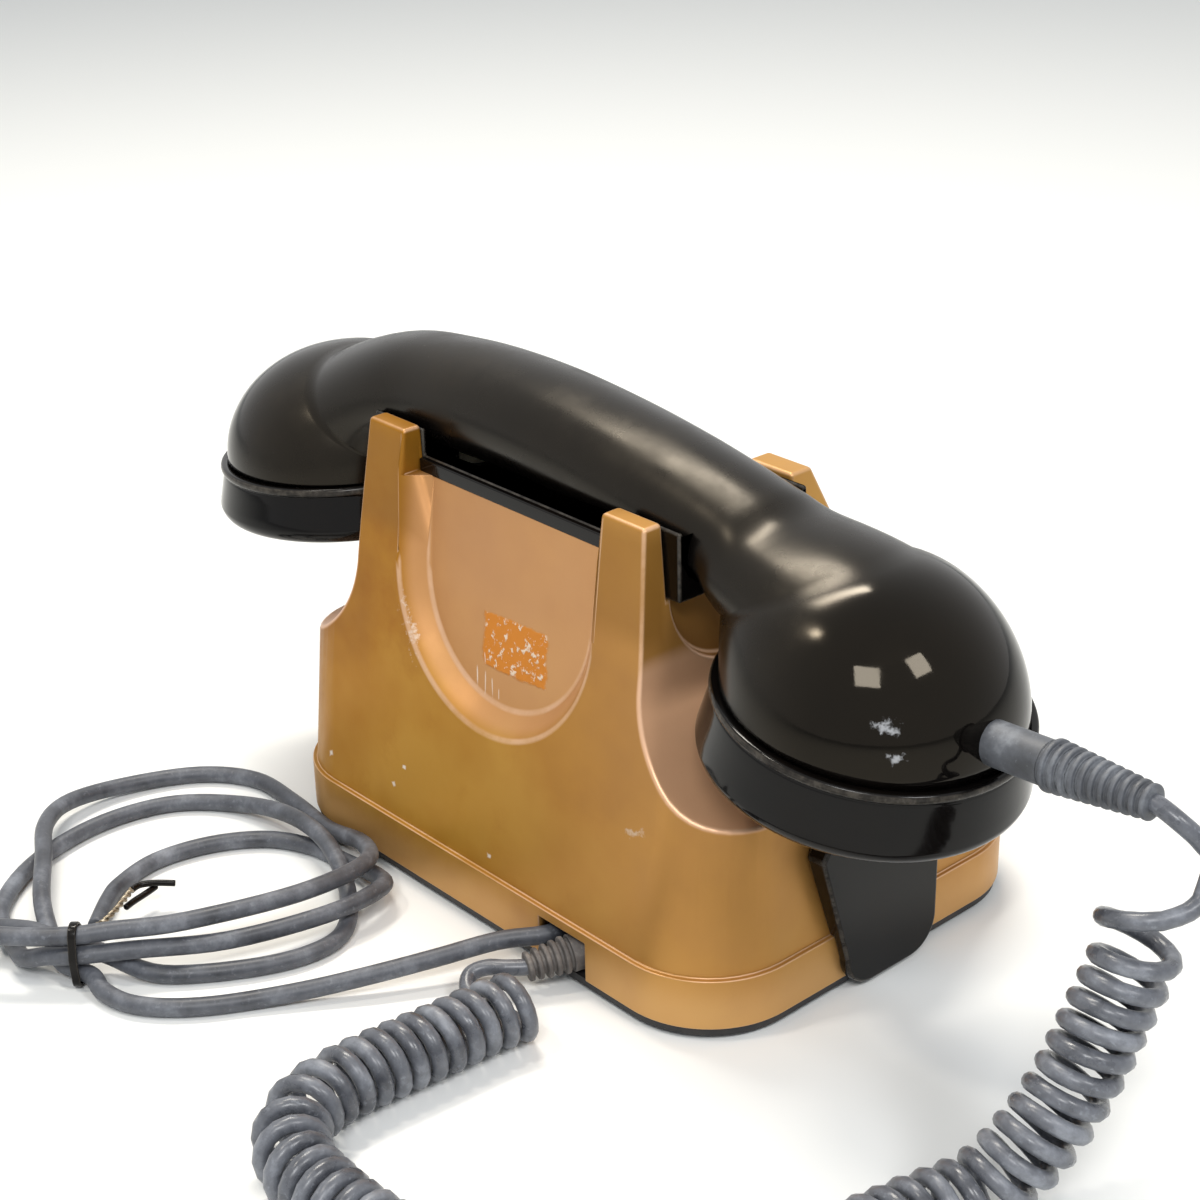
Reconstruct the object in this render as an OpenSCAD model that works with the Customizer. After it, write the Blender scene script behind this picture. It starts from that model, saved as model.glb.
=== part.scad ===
/* [Body shell] */
// Width of the copper shell at its skirt
body_w = 147.4; // [144:0.2:154]
// Depth of the copper shell at its skirt
body_d = 104.8; // [102:0.2:110]
// Radius of the shell's upright corners
corner_r = 22; // [16:1:26]
// Height of the prong tips above the table
prong_z = 104; // [102:0.5:108]
// Height of the skirt's upper line above the table
skirt_z = 14.6; // [13:0.2:18]
// Step of the wall above the skirt
skirt_step = 1.1; // [0.5:0.1:2]
// Wall thickness of the shell
shell_t = 2.6; // [2:0.1:3]
// Lean of the rear wall, skirt line to prong tip
rear_lean = 11.2; // [9:0.2:13]
// Lean of the front wall, skirt line to prong tip
front_lean = 44.6; // [43:0.2:46]
// Radius of the hollow swept out under each end of the cradle
scoop_r = 25; // [22:0.5:26]

/* [Prongs and cradle] */
// Distance from the shell's side in to the inner side of a prong
prong_set = 42.1; // [40.8:0.1:43.6]
// Width of a prong at its tip
prong_w = 12.3; // [11:0.1:13]
// Half the gap between the front and rear prongs
cradle_half = 18; // [17.6:0.1:18.6]
// Height of the shell's deck, where the cradle moulding sits
deck_z = 88; // [86:0.5:89]
// Thickness of the cradle moulding's floor
saddle_t = 2.4; // [1.6:0.1:2.6]
// Distance from the shell's side in to the end of the cradle moulding
saddle_set = 25.1; // [24.9:0.1:27.6]
// Depth of the finger hollow in the rear wall
recess_d = 5; // [3:0.2:5.6]

/* [Base] */
// Height of the rubber feet below the base plate
foot_h = 1.2; // [1:0.1:1.6]
// Thickness of the base plate
plate_t = 1.8; // [1.4:0.1:2.2]
// Diameter of a rubber foot
foot_d = 14; // [10:0.5:16]
// Width of the opening for the cords
notch_w = 14.6; // [14.4:0.1:16]

/* [Handset] */
// Radius of the handset's domes at the cap joint
dome_r = 30; // [29.4:0.1:30.4]
// Half width of the grip at its middle
grip_w = 15.9; // [14.5:0.1:16]
// Height of the grip above its widest line
grip_top = 14.5; // [13:0.1:16]
// Depth of the grip below its widest line
grip_low = 11; // [9:0.1:11.2]
// Distance from the shell's side out to the mouthpiece axis
mouth_out = 9.9; // [9.4:0.1:12]
// Distance from the shell's side out to the earpiece axis
ear_out = 9.5; // [8.6:0.1:12]
// Depth of the mouthpiece cap
mouth_cap_h = 16; // [13:0.5:17]
// Depth of the earpiece cap
ear_cap_h = 13.5; // [12:0.5:16]
// Radius of a cap at its face
cap_r = 33; // [32.4:0.1:33.2]
// Radius of a cap at the joint
cap_top_r = 31.4; // [31:0.1:32]
// Wall of the cap's face
cap_t = 2.6; // [2:0.1:3.4]

/* [Dial] */
// Radius of the dial's outer ring
dial_r = 39; // [38.6:0.1:40.5]
// Radius of the finger wheel
wheel_r = 34; // [33.6:0.1:34.6]
// Radius of a finger hole
hole_r = 5.8; // [5.2:0.1:6]
// Radius of the circle on which the finger holes lie
hole_ring_r = 26.4; // [26:0.1:26.8]
// Thickness of the finger wheel
wheel_t = 1.8; // [1.4:0.1:2.2]
// Depth of the dial's case behind the face
case_d = 24; // [18:0.5:26]
// Height of the dial's centre above the table
dial_z = 54; // [53:0.5:55]

/* [Bell and switch] */
// Radius of a gong
gong_r = 18; // [15:0.5:18.4]
// Gap between the two gongs
gong_gap = 9; // [8.4:0.1:11]
// Radius of the clapper's ball
ball_r = 2.6; // [2:0.1:2.8]
// Radius of a cradle plunger
plunger_r = 3.5; // [2.5:0.1:4]

/* [Cords] */
// Thickness of the handset cord
wire_d = 3.5; // [3:0.1:3.6]
// Outer diameter of the handset cord's curls
curl_d = 15.2; // [14:0.1:15.4]
// Number of curls of the handset cord
curls = 56; // [46:1:57]
// Thickness of the line cord
line_d = 4; // [3.4:0.1:4]

/* [Fits] */
// Gap beside pieces that slide or turn
gap = 0.4; // [0.2:0.05:0.6]
// Gap beside pieces that are pushed together
fit = 0.1; // [0.05:0.05:0.2]

/* [Hidden] */
$fn = 48;
eps = 0.01;

shell_z = foot_h + plate_t;
hand_y = 17.3;
half_w = body_w / 2;
half_d = body_d / 2;
wall_w = half_w - skirt_step;
wall_d = half_d - skirt_step;
wall_rise = prong_z - skirt_z;
side_draft = 4.2;
corner_draft = 9;
front_tilt = atan(front_lean / wall_rise);
rear_tilt = atan(rear_lean / wall_rise);
prong_in = half_w - prong_set;
prong_out = prong_in + prong_w;
saddle_half = half_w - saddle_set;
mouth_x = half_w + mouth_out;
ear_x = half_w + ear_out;
through = 20;

copper = "#b07a3e";
black = "#17171a";
steel = "#8c8f93";
brass = "#b89a55";
ivory = "#e8e2cf";
rubber = "#2a2a2c";
cord_grey = "#5c6270";

// y of the outer face of the front and of the rear wall at height z
function front_y(z) = -wall_d + front_lean * (z - skirt_z) / wall_rise;
function rear_y(z) = wall_d - rear_lean * (z - skirt_z) / wall_rise;

function unit(v) = v / norm(v);

// Triangles between ring r and the next, n points in each
function ring_quads(r, n) = [for (k = [0:n - 1]) let (a = r * n + k, b = r * n + (k + 1) % n)
    each [[a, a + n, b], [b, a + n, b + n]]];
function ring_fan(first, n, flip) = [for (k = [1:n - 2])
    flip ? [first, first + k, first + k + 1] : [first, first + k + 1, first + k]];

// Closed skin over a list of rings, each a list of n points
module skin(rings) {
    n = len(rings[0]);
    m = len(rings);
    faces = concat(ring_fan(0, n, true), [for (r = [0:m - 2]) each ring_quads(r, n)],
        ring_fan((m - 1) * n, n, false));
    polyhedron(points = [for (r = rings) each r], faces = faces, convexity = 8);
}

// Smooth curve through the points p, with steps pieces to a span
function spline_at(p, i, t) = let (n = len(p) - 1, a = p[max(i - 1, 0)], b = p[i],
    c = p[min(i + 1, n)], d = p[min(i + 2, n)])
    0.5 * (2 * b + t * (c - a) + t * t * (2 * a - 5 * b + 4 * c - d) + t * t * t * (3 * b - a - 3 * c + d));
function spline(p, steps) = concat([for (i = [0:len(p) - 2]) for (k = [0:steps - 1])
    spline_at(p, i, k / steps)], [p[len(p) - 1]]);

function tangent(p, i) = unit(p[min(i + 1, len(p) - 1)] - p[max(i - 1, 0)]);
function turned(u, t) = unit(u - (u * t) * t);
function sides_of(p, u0) = [for (i = 0, u = turned(u0, tangent(p, 0)); i < len(p);
    i = i + 1, u = turned(u, tangent(p, min(i, len(p) - 1)))) u];

// Round tube of radius r along the points p, its first corner towards u0
module tube(p, r, sides, u0 = [0, 0, 1]) {
    side = sides_of(p, u0);
    skin([for (i = [0:len(p) - 1]) let (t = tangent(p, i), u = side[i], v = cross(t, u))
        [for (k = [0:sides - 1]) p[i] + r * (cos(360 * k / sides) * u + sin(360 * k / sides) * v)]]);
}

// Flat outline with round corners: half width w, front y0, rear y1, corner radius r
module outline(w, y0, y1, r) {
    for (x = [-1, 1]) for (y = [y0 + r, y1 - r]) translate([x * (w - r), y]) circle(r);
    translate([-w + r, y0]) square([2 * (w - r), y1 - y0]);
    translate([-w, y0 + r]) square([2 * w, y1 - y0 - 2 * r]);
}

// Leaning block of the shell's walls between two heights, drawn in by inset
module walls(inset, z0, z1) {
    hull() {
        for (z = [z0, z1]) {
            s = (z - skirt_z) / wall_rise;
            r = corner_r - skirt_step - inset - corner_draft * s;
            for (x = [-1, 1]) for (y = [front_y(z) + inset + r, rear_y(z) - inset - r])
                translate([x * (wall_w - side_draft * s - inset - r), y, z]) cylinder(r = r, h = eps, $fn = 40);
        }
    }
}

scoop_low = 47;
scoop_z = scoop_low + scoop_r;
scoop_x = half_w - 2.2;
tower_half = scoop_x - scoop_r;
shoulder = 8;
end_hollow_r = 17;
end_hollow_d = 2.5;
boss_x = half_w - 13.7;
boss_y = half_d - 16.4;
boss_r = 4;
boss_h = 60;
screw_r = 1.5;
screw_len = 14;

// Outline of the hollow under one end of the cradle, seen from the front, with grow added
module scoop_shape(grow) {
    translate([scoop_x, scoop_z]) circle(scoop_r + grow, $fn = 96);
    polygon([[tower_half - grow, scoop_z], [tower_half - 0.5 - grow, deck_z - shoulder],
        [prong_out - grow, prong_z + 1], [half_w + through, prong_z + 1], [half_w + through, scoop_z]]);
}

module scoops(grow) {
    for (s = [0, 1]) mirror([s, 0, 0]) translate([0, half_d + through, 0]) rotate([90, 0, 0])
        linear_extrude(2 * half_d + 2 * through) scoop_shape(grow);
}

recess_z = deck_z - 11;
recess_slope = 4;
recess_low_r = prong_in - recess_d;
lip_z = deck_z + 6;

// Finger hollow of the rear wall, its floor parallel to the wall, with grow added
module rear_hollow(grow) {
    r0 = prong_in + grow + recess_slope;
    r1 = recess_low_r + grow;
    d = recess_d + grow;
    translate([0, rear_y(recess_z), recess_z]) rotate([90 + rear_tilt, 0, 0]) {
        rotate_extrude($fn = 96) polygon([[0, -recess_slope], [r0, -recess_slope], [r1, d], [0, d]]);
        rotate([-90, 0, 0]) linear_extrude(prong_z - recess_z + recess_slope)
            polygon([[-r0, recess_slope], [r0, recess_slope], [r1, -d], [-r1, -d]]);
    }
}

// Places its children on the dial's face, +Z outwards
module on_dial() {
    translate([0, front_y(dial_z), dial_z]) rotate([90 - front_tilt, 0, 0]) children();
}

notch_x = -37.4;
notch_top = 12.2;
plunger_x = tower_half - 10;
plunger_top = deck_z + 4.1;

module body_shell() color(copper) difference() {
    union() {
        walls(0, skirt_z, prong_z);
        translate([0, 0, shell_z]) linear_extrude(skirt_z - shell_z) outline(half_w, -half_d, half_d, corner_r);
    }
    scoops(0);
    // channel for the cradle, and the gaps between the prongs
    translate([-half_w, hand_y - cradle_half, deck_z]) cube([body_w, 2 * cradle_half, prong_z]);
    translate([-prong_in, -half_d, lip_z]) cube([2 * prong_in, body_d, prong_z]);
    rear_hollow(0);
    // hollows in the sides of the tower, under the ends of the cradle
    for (s = [0, 1]) mirror([s, 0, 0]) translate([tower_half - end_hollow_d, hand_y, deck_z])
        rotate([0, 90, 0]) cylinder(h = through, r = end_hollow_r, $fn = 96);
    // inside of the shell
    difference() {
        union() {
            walls(shell_t, skirt_z - eps, deck_z - shell_t);
            translate([0, 0, shell_z - eps]) linear_extrude(skirt_z - shell_z)
                outline(half_w - shell_t, -half_d + shell_t, half_d - shell_t, corner_r - shell_t);
        }
        scoops(shell_t);
        rear_hollow(shell_t);
        for (s = [0, 1]) mirror([s, 0, 0]) translate([tower_half - end_hollow_d - shell_t, hand_y, deck_z])
            rotate([0, 90, 0]) cylinder(h = through, r = end_hollow_r + shell_t, $fn = 96);
        for (x = [-boss_x, boss_x]) for (y = [-boss_y, boss_y])
            translate([x, y, shell_z - 1]) cylinder(h = boss_h, r = boss_r);
    }
    for (x = [-boss_x, boss_x]) for (y = [-boss_y, boss_y])
        translate([x, y, shell_z - 1]) cylinder(h = screw_len + 4, r = screw_r);
    on_dial() translate([0, 0, -through / 2]) cylinder(h = through, r = collar_r + fit, $fn = 96);
    // opening for the cords
    translate([notch_x, half_d - through / 2, shell_z - 1]) cube([notch_w, through, notch_top - shell_z + 1]);
    for (x = [-plunger_x, plunger_x]) translate([x, hand_y, deck_z - through / 2])
        cylinder(h = through, r = plunger_r + gap);
}

foot_x = half_w - 21.7;
foot_y = half_d - 26.4;
foot_pin_r = 2;
foot_cap_r = 3;
foot_cap_h = 1.4;
plate_gap = 0.6;
vent_l = 40;
vent_w = 2.4;
vent_step = 6;
bell_y = 20;

module base_plate() color(black) difference() {
    translate([0, 0, foot_h]) linear_extrude(plate_t)
        outline(half_w - plate_gap, -half_d + plate_gap, half_d - plate_gap, corner_r - plate_gap);
    for (x = [-boss_x, boss_x]) for (y = [-boss_y, boss_y])
        translate([x, y, 0]) cylinder(h = through, r = screw_r + gap);
    for (x = [-foot_x, foot_x]) for (y = [-foot_y, foot_y])
        translate([x, y, 0]) cylinder(h = through, r = foot_pin_r + fit);
    // vents under the bell
    for (i = [-2:2]) translate([-vent_l / 2, bell_y + i * vent_step - vent_w / 2, 0])
        cube([vent_l, vent_w, through]);
}

module rubber_feet() color(rubber) for (x = [-foot_x, foot_x]) for (y = [-foot_y, foot_y])
    translate([x, y, 0]) {
        cylinder(h = foot_h, r = foot_d / 2);
        cylinder(h = shell_z, r = foot_pin_r);
        translate([0, 0, shell_z]) cylinder(h = foot_cap_h, r = foot_cap_r);
    }

screw_head_r = 3;
screw_head_h = 0.9;
slot_w = 0.8;

module base_screws() color(steel) for (x = [-boss_x, boss_x]) for (y = [-boss_y, boss_y])
    translate([x, y, foot_h - screw_head_h]) difference() {
        union() {
            cylinder(h = screw_head_h, r = screw_head_r);
            cylinder(h = screw_len, r = screw_r - 0.05);
        }
        translate([-screw_head_r - 1, -slot_w / 2, -eps])
            cube([2 * screw_head_r + 2, slot_w, screw_head_h / 2]);
    }

trough_z = deck_z + saddle_t + fit;
trough_w = cradle_half - 1.3;
trough_r = 6.4;
saddle_lip = 3;

module cradle_saddle() color(black) difference() {
    w = cradle_half - fit;
    union() {
        translate([-saddle_half, hand_y - w, deck_z + fit])
            cube([2 * saddle_half, 2 * w, lip_z + saddle_lip - deck_z - fit]);
        // higher walls beside the prongs
        for (s = [0, 1]) mirror([s, 0, 0]) translate([prong_in, hand_y - w, deck_z + fit])
            cube([saddle_half - prong_in, 2 * w, prong_z - 1 - deck_z - fit]);
    }
    // trough for the grip, with eased corners
    translate([saddle_half + 1, hand_y, trough_z]) rotate([0, -90, 0]) linear_extrude(2 * saddle_half + 2) {
        mid = 0.3 * trough_r;
        polygon([[0, -trough_w + trough_r], [trough_r / 2, -trough_w + mid], [trough_r, -trough_w],
            [prong_z, -trough_w], [prong_z, trough_w], [trough_r, trough_w],
            [trough_r / 2, trough_w - mid], [0, trough_w - trough_r]]);
    }
    for (x = [-plunger_x, plunger_x]) translate([x, hand_y, deck_z - 1])
        cylinder(h = through, r = plunger_r + gap);
}

side_t = 3;
side_top = 40;
side_front = 13.5;
side_rear = 14.5;
side_peak = 20;
side_r = 8;
side_depth = 14;

// Glossy tongue low on the mouthpiece side
module side_cover() color(black) difference() {
    translate([-half_w - side_t, 0, 0]) rotate([90, 0, 90]) linear_extrude(side_depth) {
        translate([side_r - side_front, foot_h + side_r]) circle(side_r);
        translate([side_rear - side_r, foot_h + side_r]) circle(side_r);
        translate([side_r - side_front, foot_h]) square([side_front + side_rear - 2 * side_r, side_r]);
        polygon([[-side_front, foot_h + side_r], [side_rear, foot_h + side_r], [side_peak + 2.7, side_top - 4],
            [side_peak, side_top], [-side_front + 2.5, side_top], [-side_front, side_top - 3]]);
    }
    walls(-fit, skirt_z - 0.05, prong_z);
    linear_extrude(skirt_z + fit) outline(half_w + fit, -half_d - fit, half_d + fit, corner_r + fit);
}

yoke_z = deck_z - 14;
yoke_t = 3;
yoke_w = 8;
yoke_post = 6;
plunger_rise = 4;

module cradle_plungers() color(ivory) for (x = [-plunger_x, plunger_x]) translate([x, hand_y, yoke_z + yoke_t])
    cylinder(h = plunger_top - yoke_z - yoke_t, r = plunger_r);

// Bar under both plungers, and the post that works the switch springs
module plunger_yoke() color(steel) translate([0, hand_y, yoke_z]) {
    translate([-plunger_x - yoke_w / 2, -yoke_w / 2, 0]) cube([2 * plunger_x + yoke_w, yoke_w, yoke_t]);
    translate([-yoke_t / 2, -yoke_w / 2, -yoke_post]) cube([yoke_t, yoke_w, yoke_post]);
}

bracket_w = 32;
bracket_d = 13;
bracket_t = 1.6;
bracket_z = 42;
bracket_h = 13;
stack_x = 5;
stack_w = 4;
stack_d = 6;
stack_h = 8;
spring_t = 0.5;

// Frame that hangs from the deck, with slots in which the yoke's bar rises
module hook_switch_bracket() color(steel) translate([0, hand_y, 0]) difference() {
    union() {
        for (z = [bracket_z, bracket_z + bracket_h]) translate([-bracket_w / 2, -bracket_d / 2, z])
            cube([bracket_w, bracket_d, bracket_t]);
        for (s = [0, 1]) mirror([s, 0, 0]) translate([bracket_w / 2 - bracket_t, -bracket_d / 2, bracket_z])
            cube([bracket_t, bracket_d, deck_z - shell_t - bracket_z]);
    }
    translate([-bracket_w, -yoke_w / 2 - gap, yoke_z - gap])
        cube([2 * bracket_w, yoke_w + 2 * gap, yoke_t + plunger_rise + 2 * gap]);
}

// Two stacks of contact springs on the bracket, each with its blades standing beside the post
module hook_switch_springs() color(brass) translate([0, hand_y, bracket_z + bracket_h + bracket_t])
    for (i = [-1, 1]) translate([i * stack_x, 0, 0]) {
        translate([-stack_w / 2, -stack_d / 2, 0]) cube([stack_w, stack_d, stack_h]);
        for (y = [-1.5, 0, 1.5]) translate([-stack_w / 2, y * spring_t * 2 - spring_t / 2, stack_h])
            cube([stack_w, spring_t, stack_h / 2]);
    }

// Ring between two radii, from z0 up to z1
module ring(r_out, r_in, z0, z1) translate([0, 0, z0]) linear_extrude(z1 - z0)
    difference() { circle(r_out, $fn = 96); circle(r_in, $fn = 96); }

collar_r = dial_r - 2.8;
collar_h = 3.4;
collar_t = 1.6;
collar_d = 3;
plate_z = -2;
case_r = collar_r - 3;
case_t = 1.6;
case_z = -4.2;
wheel_z = 1.2;
wheel_top = wheel_z + wheel_t;
web_in = hole_ring_r - 4;
web_out = hole_ring_r + 4;
first_hole = 58;
hole_step = 30;
stop_angle = -8;
stop_w = 4;
stop_t = 1;
stop_z = wheel_top + 0.8;
stop_in = 24;
spindle_r = 2;
spindle_cap_r = 7;
bearing_r = 5;
cap_rim_r = 15;
cap_h = 1.8;

module dial_mount() color(black) on_dial() {
    rotate_extrude($fn = 96) polygon([[collar_r, fit], [dial_r, fit], [dial_r, collar_h / 2],
        [dial_r - 0.8, collar_h - 0.8], [collar_r + 0.6, collar_h], [collar_r - 1, collar_h],
        [collar_r - collar_t, collar_h - 0.6],
        [collar_r - collar_t, -collar_d], [collar_r, -collar_d]]);
    ring(collar_r - collar_t, wheel_r - 4, -collar_d, plate_z);
}

module number_plate() color(ivory) on_dial() difference() {
    translate([0, 0, plate_z + fit]) cylinder(h = 1, r = collar_r - collar_t - fit, $fn = 96);
    translate([0, 0, plate_z - 1]) cylinder(h = through, r = spindle_r + gap);
}

module dial_case() color(steel) on_dial() {
    ring(case_r, case_r - case_t, -case_d, case_z);
    ring(case_r - case_t, spindle_r + gap, -case_d, case_t - case_d);
    ring(bearing_r, spindle_r + gap, case_t - case_d, case_z - 1);
    ring(collar_r - 1, case_r - case_t, case_z, -collar_d - fit);
}

module dial_spindle() color(steel) on_dial() translate([0, 0, -case_d]) {
    cylinder(h = case_d + wheel_z, r = spindle_r);
    translate([0, 0, case_d + wheel_z - 1.4]) cylinder(h = 1.4, r = spindle_cap_r);
}

module finger_wheel_hub() color(black) on_dial() ring(web_in, spindle_r / 2, wheel_z, wheel_top);

module finger_holes() for (k = [0:9]) rotate([0, 0, first_hole + hole_step * k])
    translate([hole_ring_r, 0, wheel_z - 1]) cylinder(h = wheel_t + 2, r = hole_r, $fn = 48);

module finger_wheel_webs() color(black) on_dial() difference() {
    ring(web_out, web_in, wheel_z, wheel_top);
    finger_holes();
}

module finger_wheel_rim() color(black) on_dial() difference() {
    ring(wheel_r, web_out, wheel_z, wheel_top);
    finger_holes();
}

module dial_centre_cap() color(steel) on_dial() translate([0, 0, wheel_top]) rotate_extrude($fn = 96)
    polygon([[0, 0], [cap_rim_r, 0], [cap_rim_r, 0.4], [cap_rim_r - 0.8, 0.6 * cap_h],
        [cap_rim_r * 2 / 3, cap_h - 0.2], [0, cap_h]]);

module finger_stop() color(steel) on_dial() rotate([0, 0, stop_angle]) {
    translate([collar_r - 0.6, -stop_w * 0.6, collar_h]) cube([2.8, stop_w * 1.2, stop_z - collar_h]);
    translate([stop_in, -stop_w / 2, stop_z]) cube([collar_r - stop_in + 2, stop_w, stop_t]);
}

gong_x = gong_r + gong_gap / 2;
gong_z = 22;
gong_h = 11;
gong_t = 1.4;
gong_hole = 2.2;
frame_t = 1.5;
frame_d = 36;
leg_w = 32;
leg_h = 17;
coil_x = 10;
coil_z = 12.6;
coil_r = 6.6;
flange_r = 7.8;
flange_t = 1.4;
clapper_z = 7;
pivot_r = 1.4;
arm_r = 0.8;
ball_z = gong_z + 5;

module gong() {
    rotate_extrude($fn = 64) polygon([[gong_hole, gong_h - gong_t], [gong_r * 0.44, gong_h - gong_t * 1.14],
        [gong_r - 4.4, gong_h - 3.6], [gong_r - 1.6, gong_h - 7], [gong_r - gong_t, 0], [gong_r, 0],
        [gong_r, gong_h - 6.4], [gong_r - 3.6, gong_h - 2.2], [gong_r * 0.44, gong_h], [gong_hole, gong_h]]);
}

module gong_left() color(brass) translate([-gong_x, bell_y, gong_z]) gong();
module gong_right() color(brass) translate([gong_x, bell_y, gong_z]) gong();

// Posts from the ringer's frame, each with a screw through its gong
module gong_screws() color(steel) for (x = [-gong_x, gong_x]) translate([x, bell_y, 0]) {
    post_top = gong_z + gong_h - gong_t - 0.2;
    translate([0, 0, shell_z + frame_t]) cylinder(h = post_top - shell_z - frame_t, r = screw_head_r);
    translate([0, 0, post_top]) cylinder(h = gong_t + 0.3, r = gong_hole - 0.2);
    translate([0, 0, gong_z + gong_h + 0.05]) cylinder(h = gong_t + 0.2, r = screw_head_r + 0.2);
}

// Flat frame on the base plate, with the two legs that hold the coils
module ringer_yoke() color(steel) translate([0, bell_y, shell_z]) {
    difference() {
        translate([-gong_x - 5, -frame_d / 2, 0]) cube([2 * gong_x + 10, frame_d, frame_t]);
        translate([-ball_r, -frame_d / 3, -1]) cube([2 * ball_r, frame_d * 2 / 3, through]);
    }
    difference() {
        for (y = [-frame_d / 2, frame_d / 2 - frame_t]) translate([-leg_w / 2, y, frame_t])
            cube([leg_w, frame_t, leg_h]);
        translate([0, frame_d, clapper_z - shell_z]) rotate([90, 0, 0])
            cylinder(h = 2 * frame_d, r = pivot_r + 0.05);
    }
}

// Two wound bobbins side by side between the legs
module ringer_coils() color("#7a2f22") {
    len = frame_d - 2 * frame_t - 2 * fit;
    for (x = [-coil_x, coil_x]) translate([x, bell_y + len / 2, coil_z]) rotate([90, 0, 0]) {
        cylinder(h = len, r = coil_r);
        for (z = [0, len - flange_t]) translate([0, 0, z]) cylinder(h = flange_t, r = flange_r);
    }
}

module clapper() color(steel) translate([0, bell_y, clapper_z]) {
    translate([0, 0, ball_z - clapper_z]) sphere(ball_r, $fn = 48);
    cylinder(h = ball_z - clapper_z, r = arm_r);
    rotate([90, 0, 0]) translate([0, 0, -frame_d / 2 - 0.5]) cylinder(h = frame_d + 1, r = pivot_r);
}

ind_at = [-62, 3.4 - foot_y];
ind_w = 20;
ind_d = 2 * foot_y - 20;
ind_base = 3;
ind_core = 12;
ind_wind = 17;

// Induction coil: foot, iron core from end to end, and the winding round it
module induction_coil() color("#3a3128") translate([ind_at[0], ind_at[1], shell_z]) {
    cube([ind_w, ind_d, ind_base]);
    translate([1, ind_d / 8, ind_base]) cube([ind_w - 2, ind_d * 3 / 4, ind_wind]);
    translate([(ind_w - ind_core) / 2, 1, ind_base]) cube([ind_core, ind_d - 2, ind_core]);
}

can_at = [44, 3.5 - foot_y];
can_w = 18;
can_d = 34;
can_h = 20;
tag_w = 3;
tag_h = 4;

// Capacitor can with two solder tags
module capacitor() color(steel) translate([can_at[0], can_at[1], shell_z]) {
    cube([can_w, can_d, can_h]);
    for (x = [can_w / 4, can_w * 3 / 4]) translate([x - tag_w / 2, can_d / 4, can_h])
        cube([tag_w, tag_w, tag_h]);
}

block_at = [-64, foot_y - 16];
block_w = 20;
block_d = 12;
block_h = 9;
block_step = 4.7;
barrier_t = 0.8;
barrier_h = 3;

// Terminal block with a low wall between the screws
module terminal_block() color(black) translate([block_at[0], block_at[1], shell_z]) {
    cube([block_w, block_d, block_h]);
    for (i = [0:4]) translate([block_w / 2 + (i - 2) * block_step - barrier_t / 2, 0, block_h])
        cube([barrier_t, block_d, barrier_h]);
}

module terminal_screws() color(brass)
    translate([block_at[0] + block_w / 2, block_at[1] + block_d / 2, shell_z + block_h])
        for (i = [-1.5:1.5]) translate([i * block_step, 0, 0]) difference() {
            cylinder(h = 1.6, r = 1.8);
            translate([-3, -slot_w / 2, 0.8]) cube([6, slot_w, 2]);
        }

clamp_y = half_d - 13.8;
clamp_d = 4.4;
clamp_h = 11;
base_relief_r = 4.1;
base_cord_a = [notch_x + 1.8, half_d - 9.4, 8.1];
base_cord_b = [notch_x + 8.8, half_d + 8.6, 6.2];

// Block behind the opening for the cords, with the seat of the strain relief
module cord_clamp() color(steel) difference() {
    translate([notch_x - 4.6, clamp_y, shell_z]) cube([notch_w + 5.9, clamp_d, clamp_h]);
    aim(base_cord_a, base_cord_b) cylinder(h = through, r = base_relief_r + fit);
}

// Places its children with +Z running from point a towards point b
module aim(a, b) {
    d = b - a;
    translate(a) rotate([0, acos(d[2] / norm(d)), atan2(d[1], d[0])]) children();
}

// Ribbed sleeve: plain for the first stretch, then ribs that taper to the tip
rib_d = 0.9;
module ribbed(len, plain, r0, r1, r2, ribs) {
    p = (len - plain) / ribs;
    rotate_extrude() polygon(concat([[0, 0], [r0, 0], [r0, plain]],
        [for (i = [0:ribs - 1]) let (r = r1 + (r2 - r1) * i / (ribs - 1), z = plain + p * i)
            each [[r - rib_d, z], [r - rib_d, z + 0.35 * p], [r, z + 0.45 * p], [r, z + 0.9 * p],
                [r - rib_d, z + p]]],
        [[0, len]]));
}

hand_relief_r = 4.4;
hand_relief_rib = 5.1;
hand_relief_tip = 3.4;
hand_relief_plain = 14.6;
base_relief_tip = 3.2;
base_relief_plain = 9.6;

module handset_strain_relief() color(black) aim(hand_cord_a, hand_cord_b)
    ribbed(norm(hand_cord_b - hand_cord_a), hand_relief_plain, hand_relief_r, hand_relief_rib,
        hand_relief_tip, 11);

module base_strain_relief() color(black) aim(base_cord_a, base_cord_b)
    ribbed(norm(base_cord_b - base_cord_a), base_relief_plain, base_relief_r, base_relief_r,
        base_relief_tip, 5);

// Places its children on a capsule's joint plane, +Z out of the face
module at_end(s, x, z, tilt) translate([s * x, hand_y, z]) rotate([0, 180 + s * tilt, 0]) children();
module at_mouth() at_end(-1, mouth_x, mouth_z, mouth_tilt) children();
module at_ear() at_end(1, ear_x, ear_z, ear_tilt) children();

mouth_z = deck_z - 13;
mouth_tilt = 10;
ear_z = deck_z - 8;
ear_tilt = 4.5;
neck_r = dome_r - 2;
neck_h = 6;
neck_in = 8;
neck_wall = 2.6;
hand_cord_a = [-mouth_x - 27, hand_y, mouth_z + 1];
hand_cord_b = [-mouth_x - 63.9, hand_y, mouth_z + 3];
hand_z = deck_z + 18.9;
dome_rise = 3;
dome_rings = 8;
grip_end = grip_w + 1.6;

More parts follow.
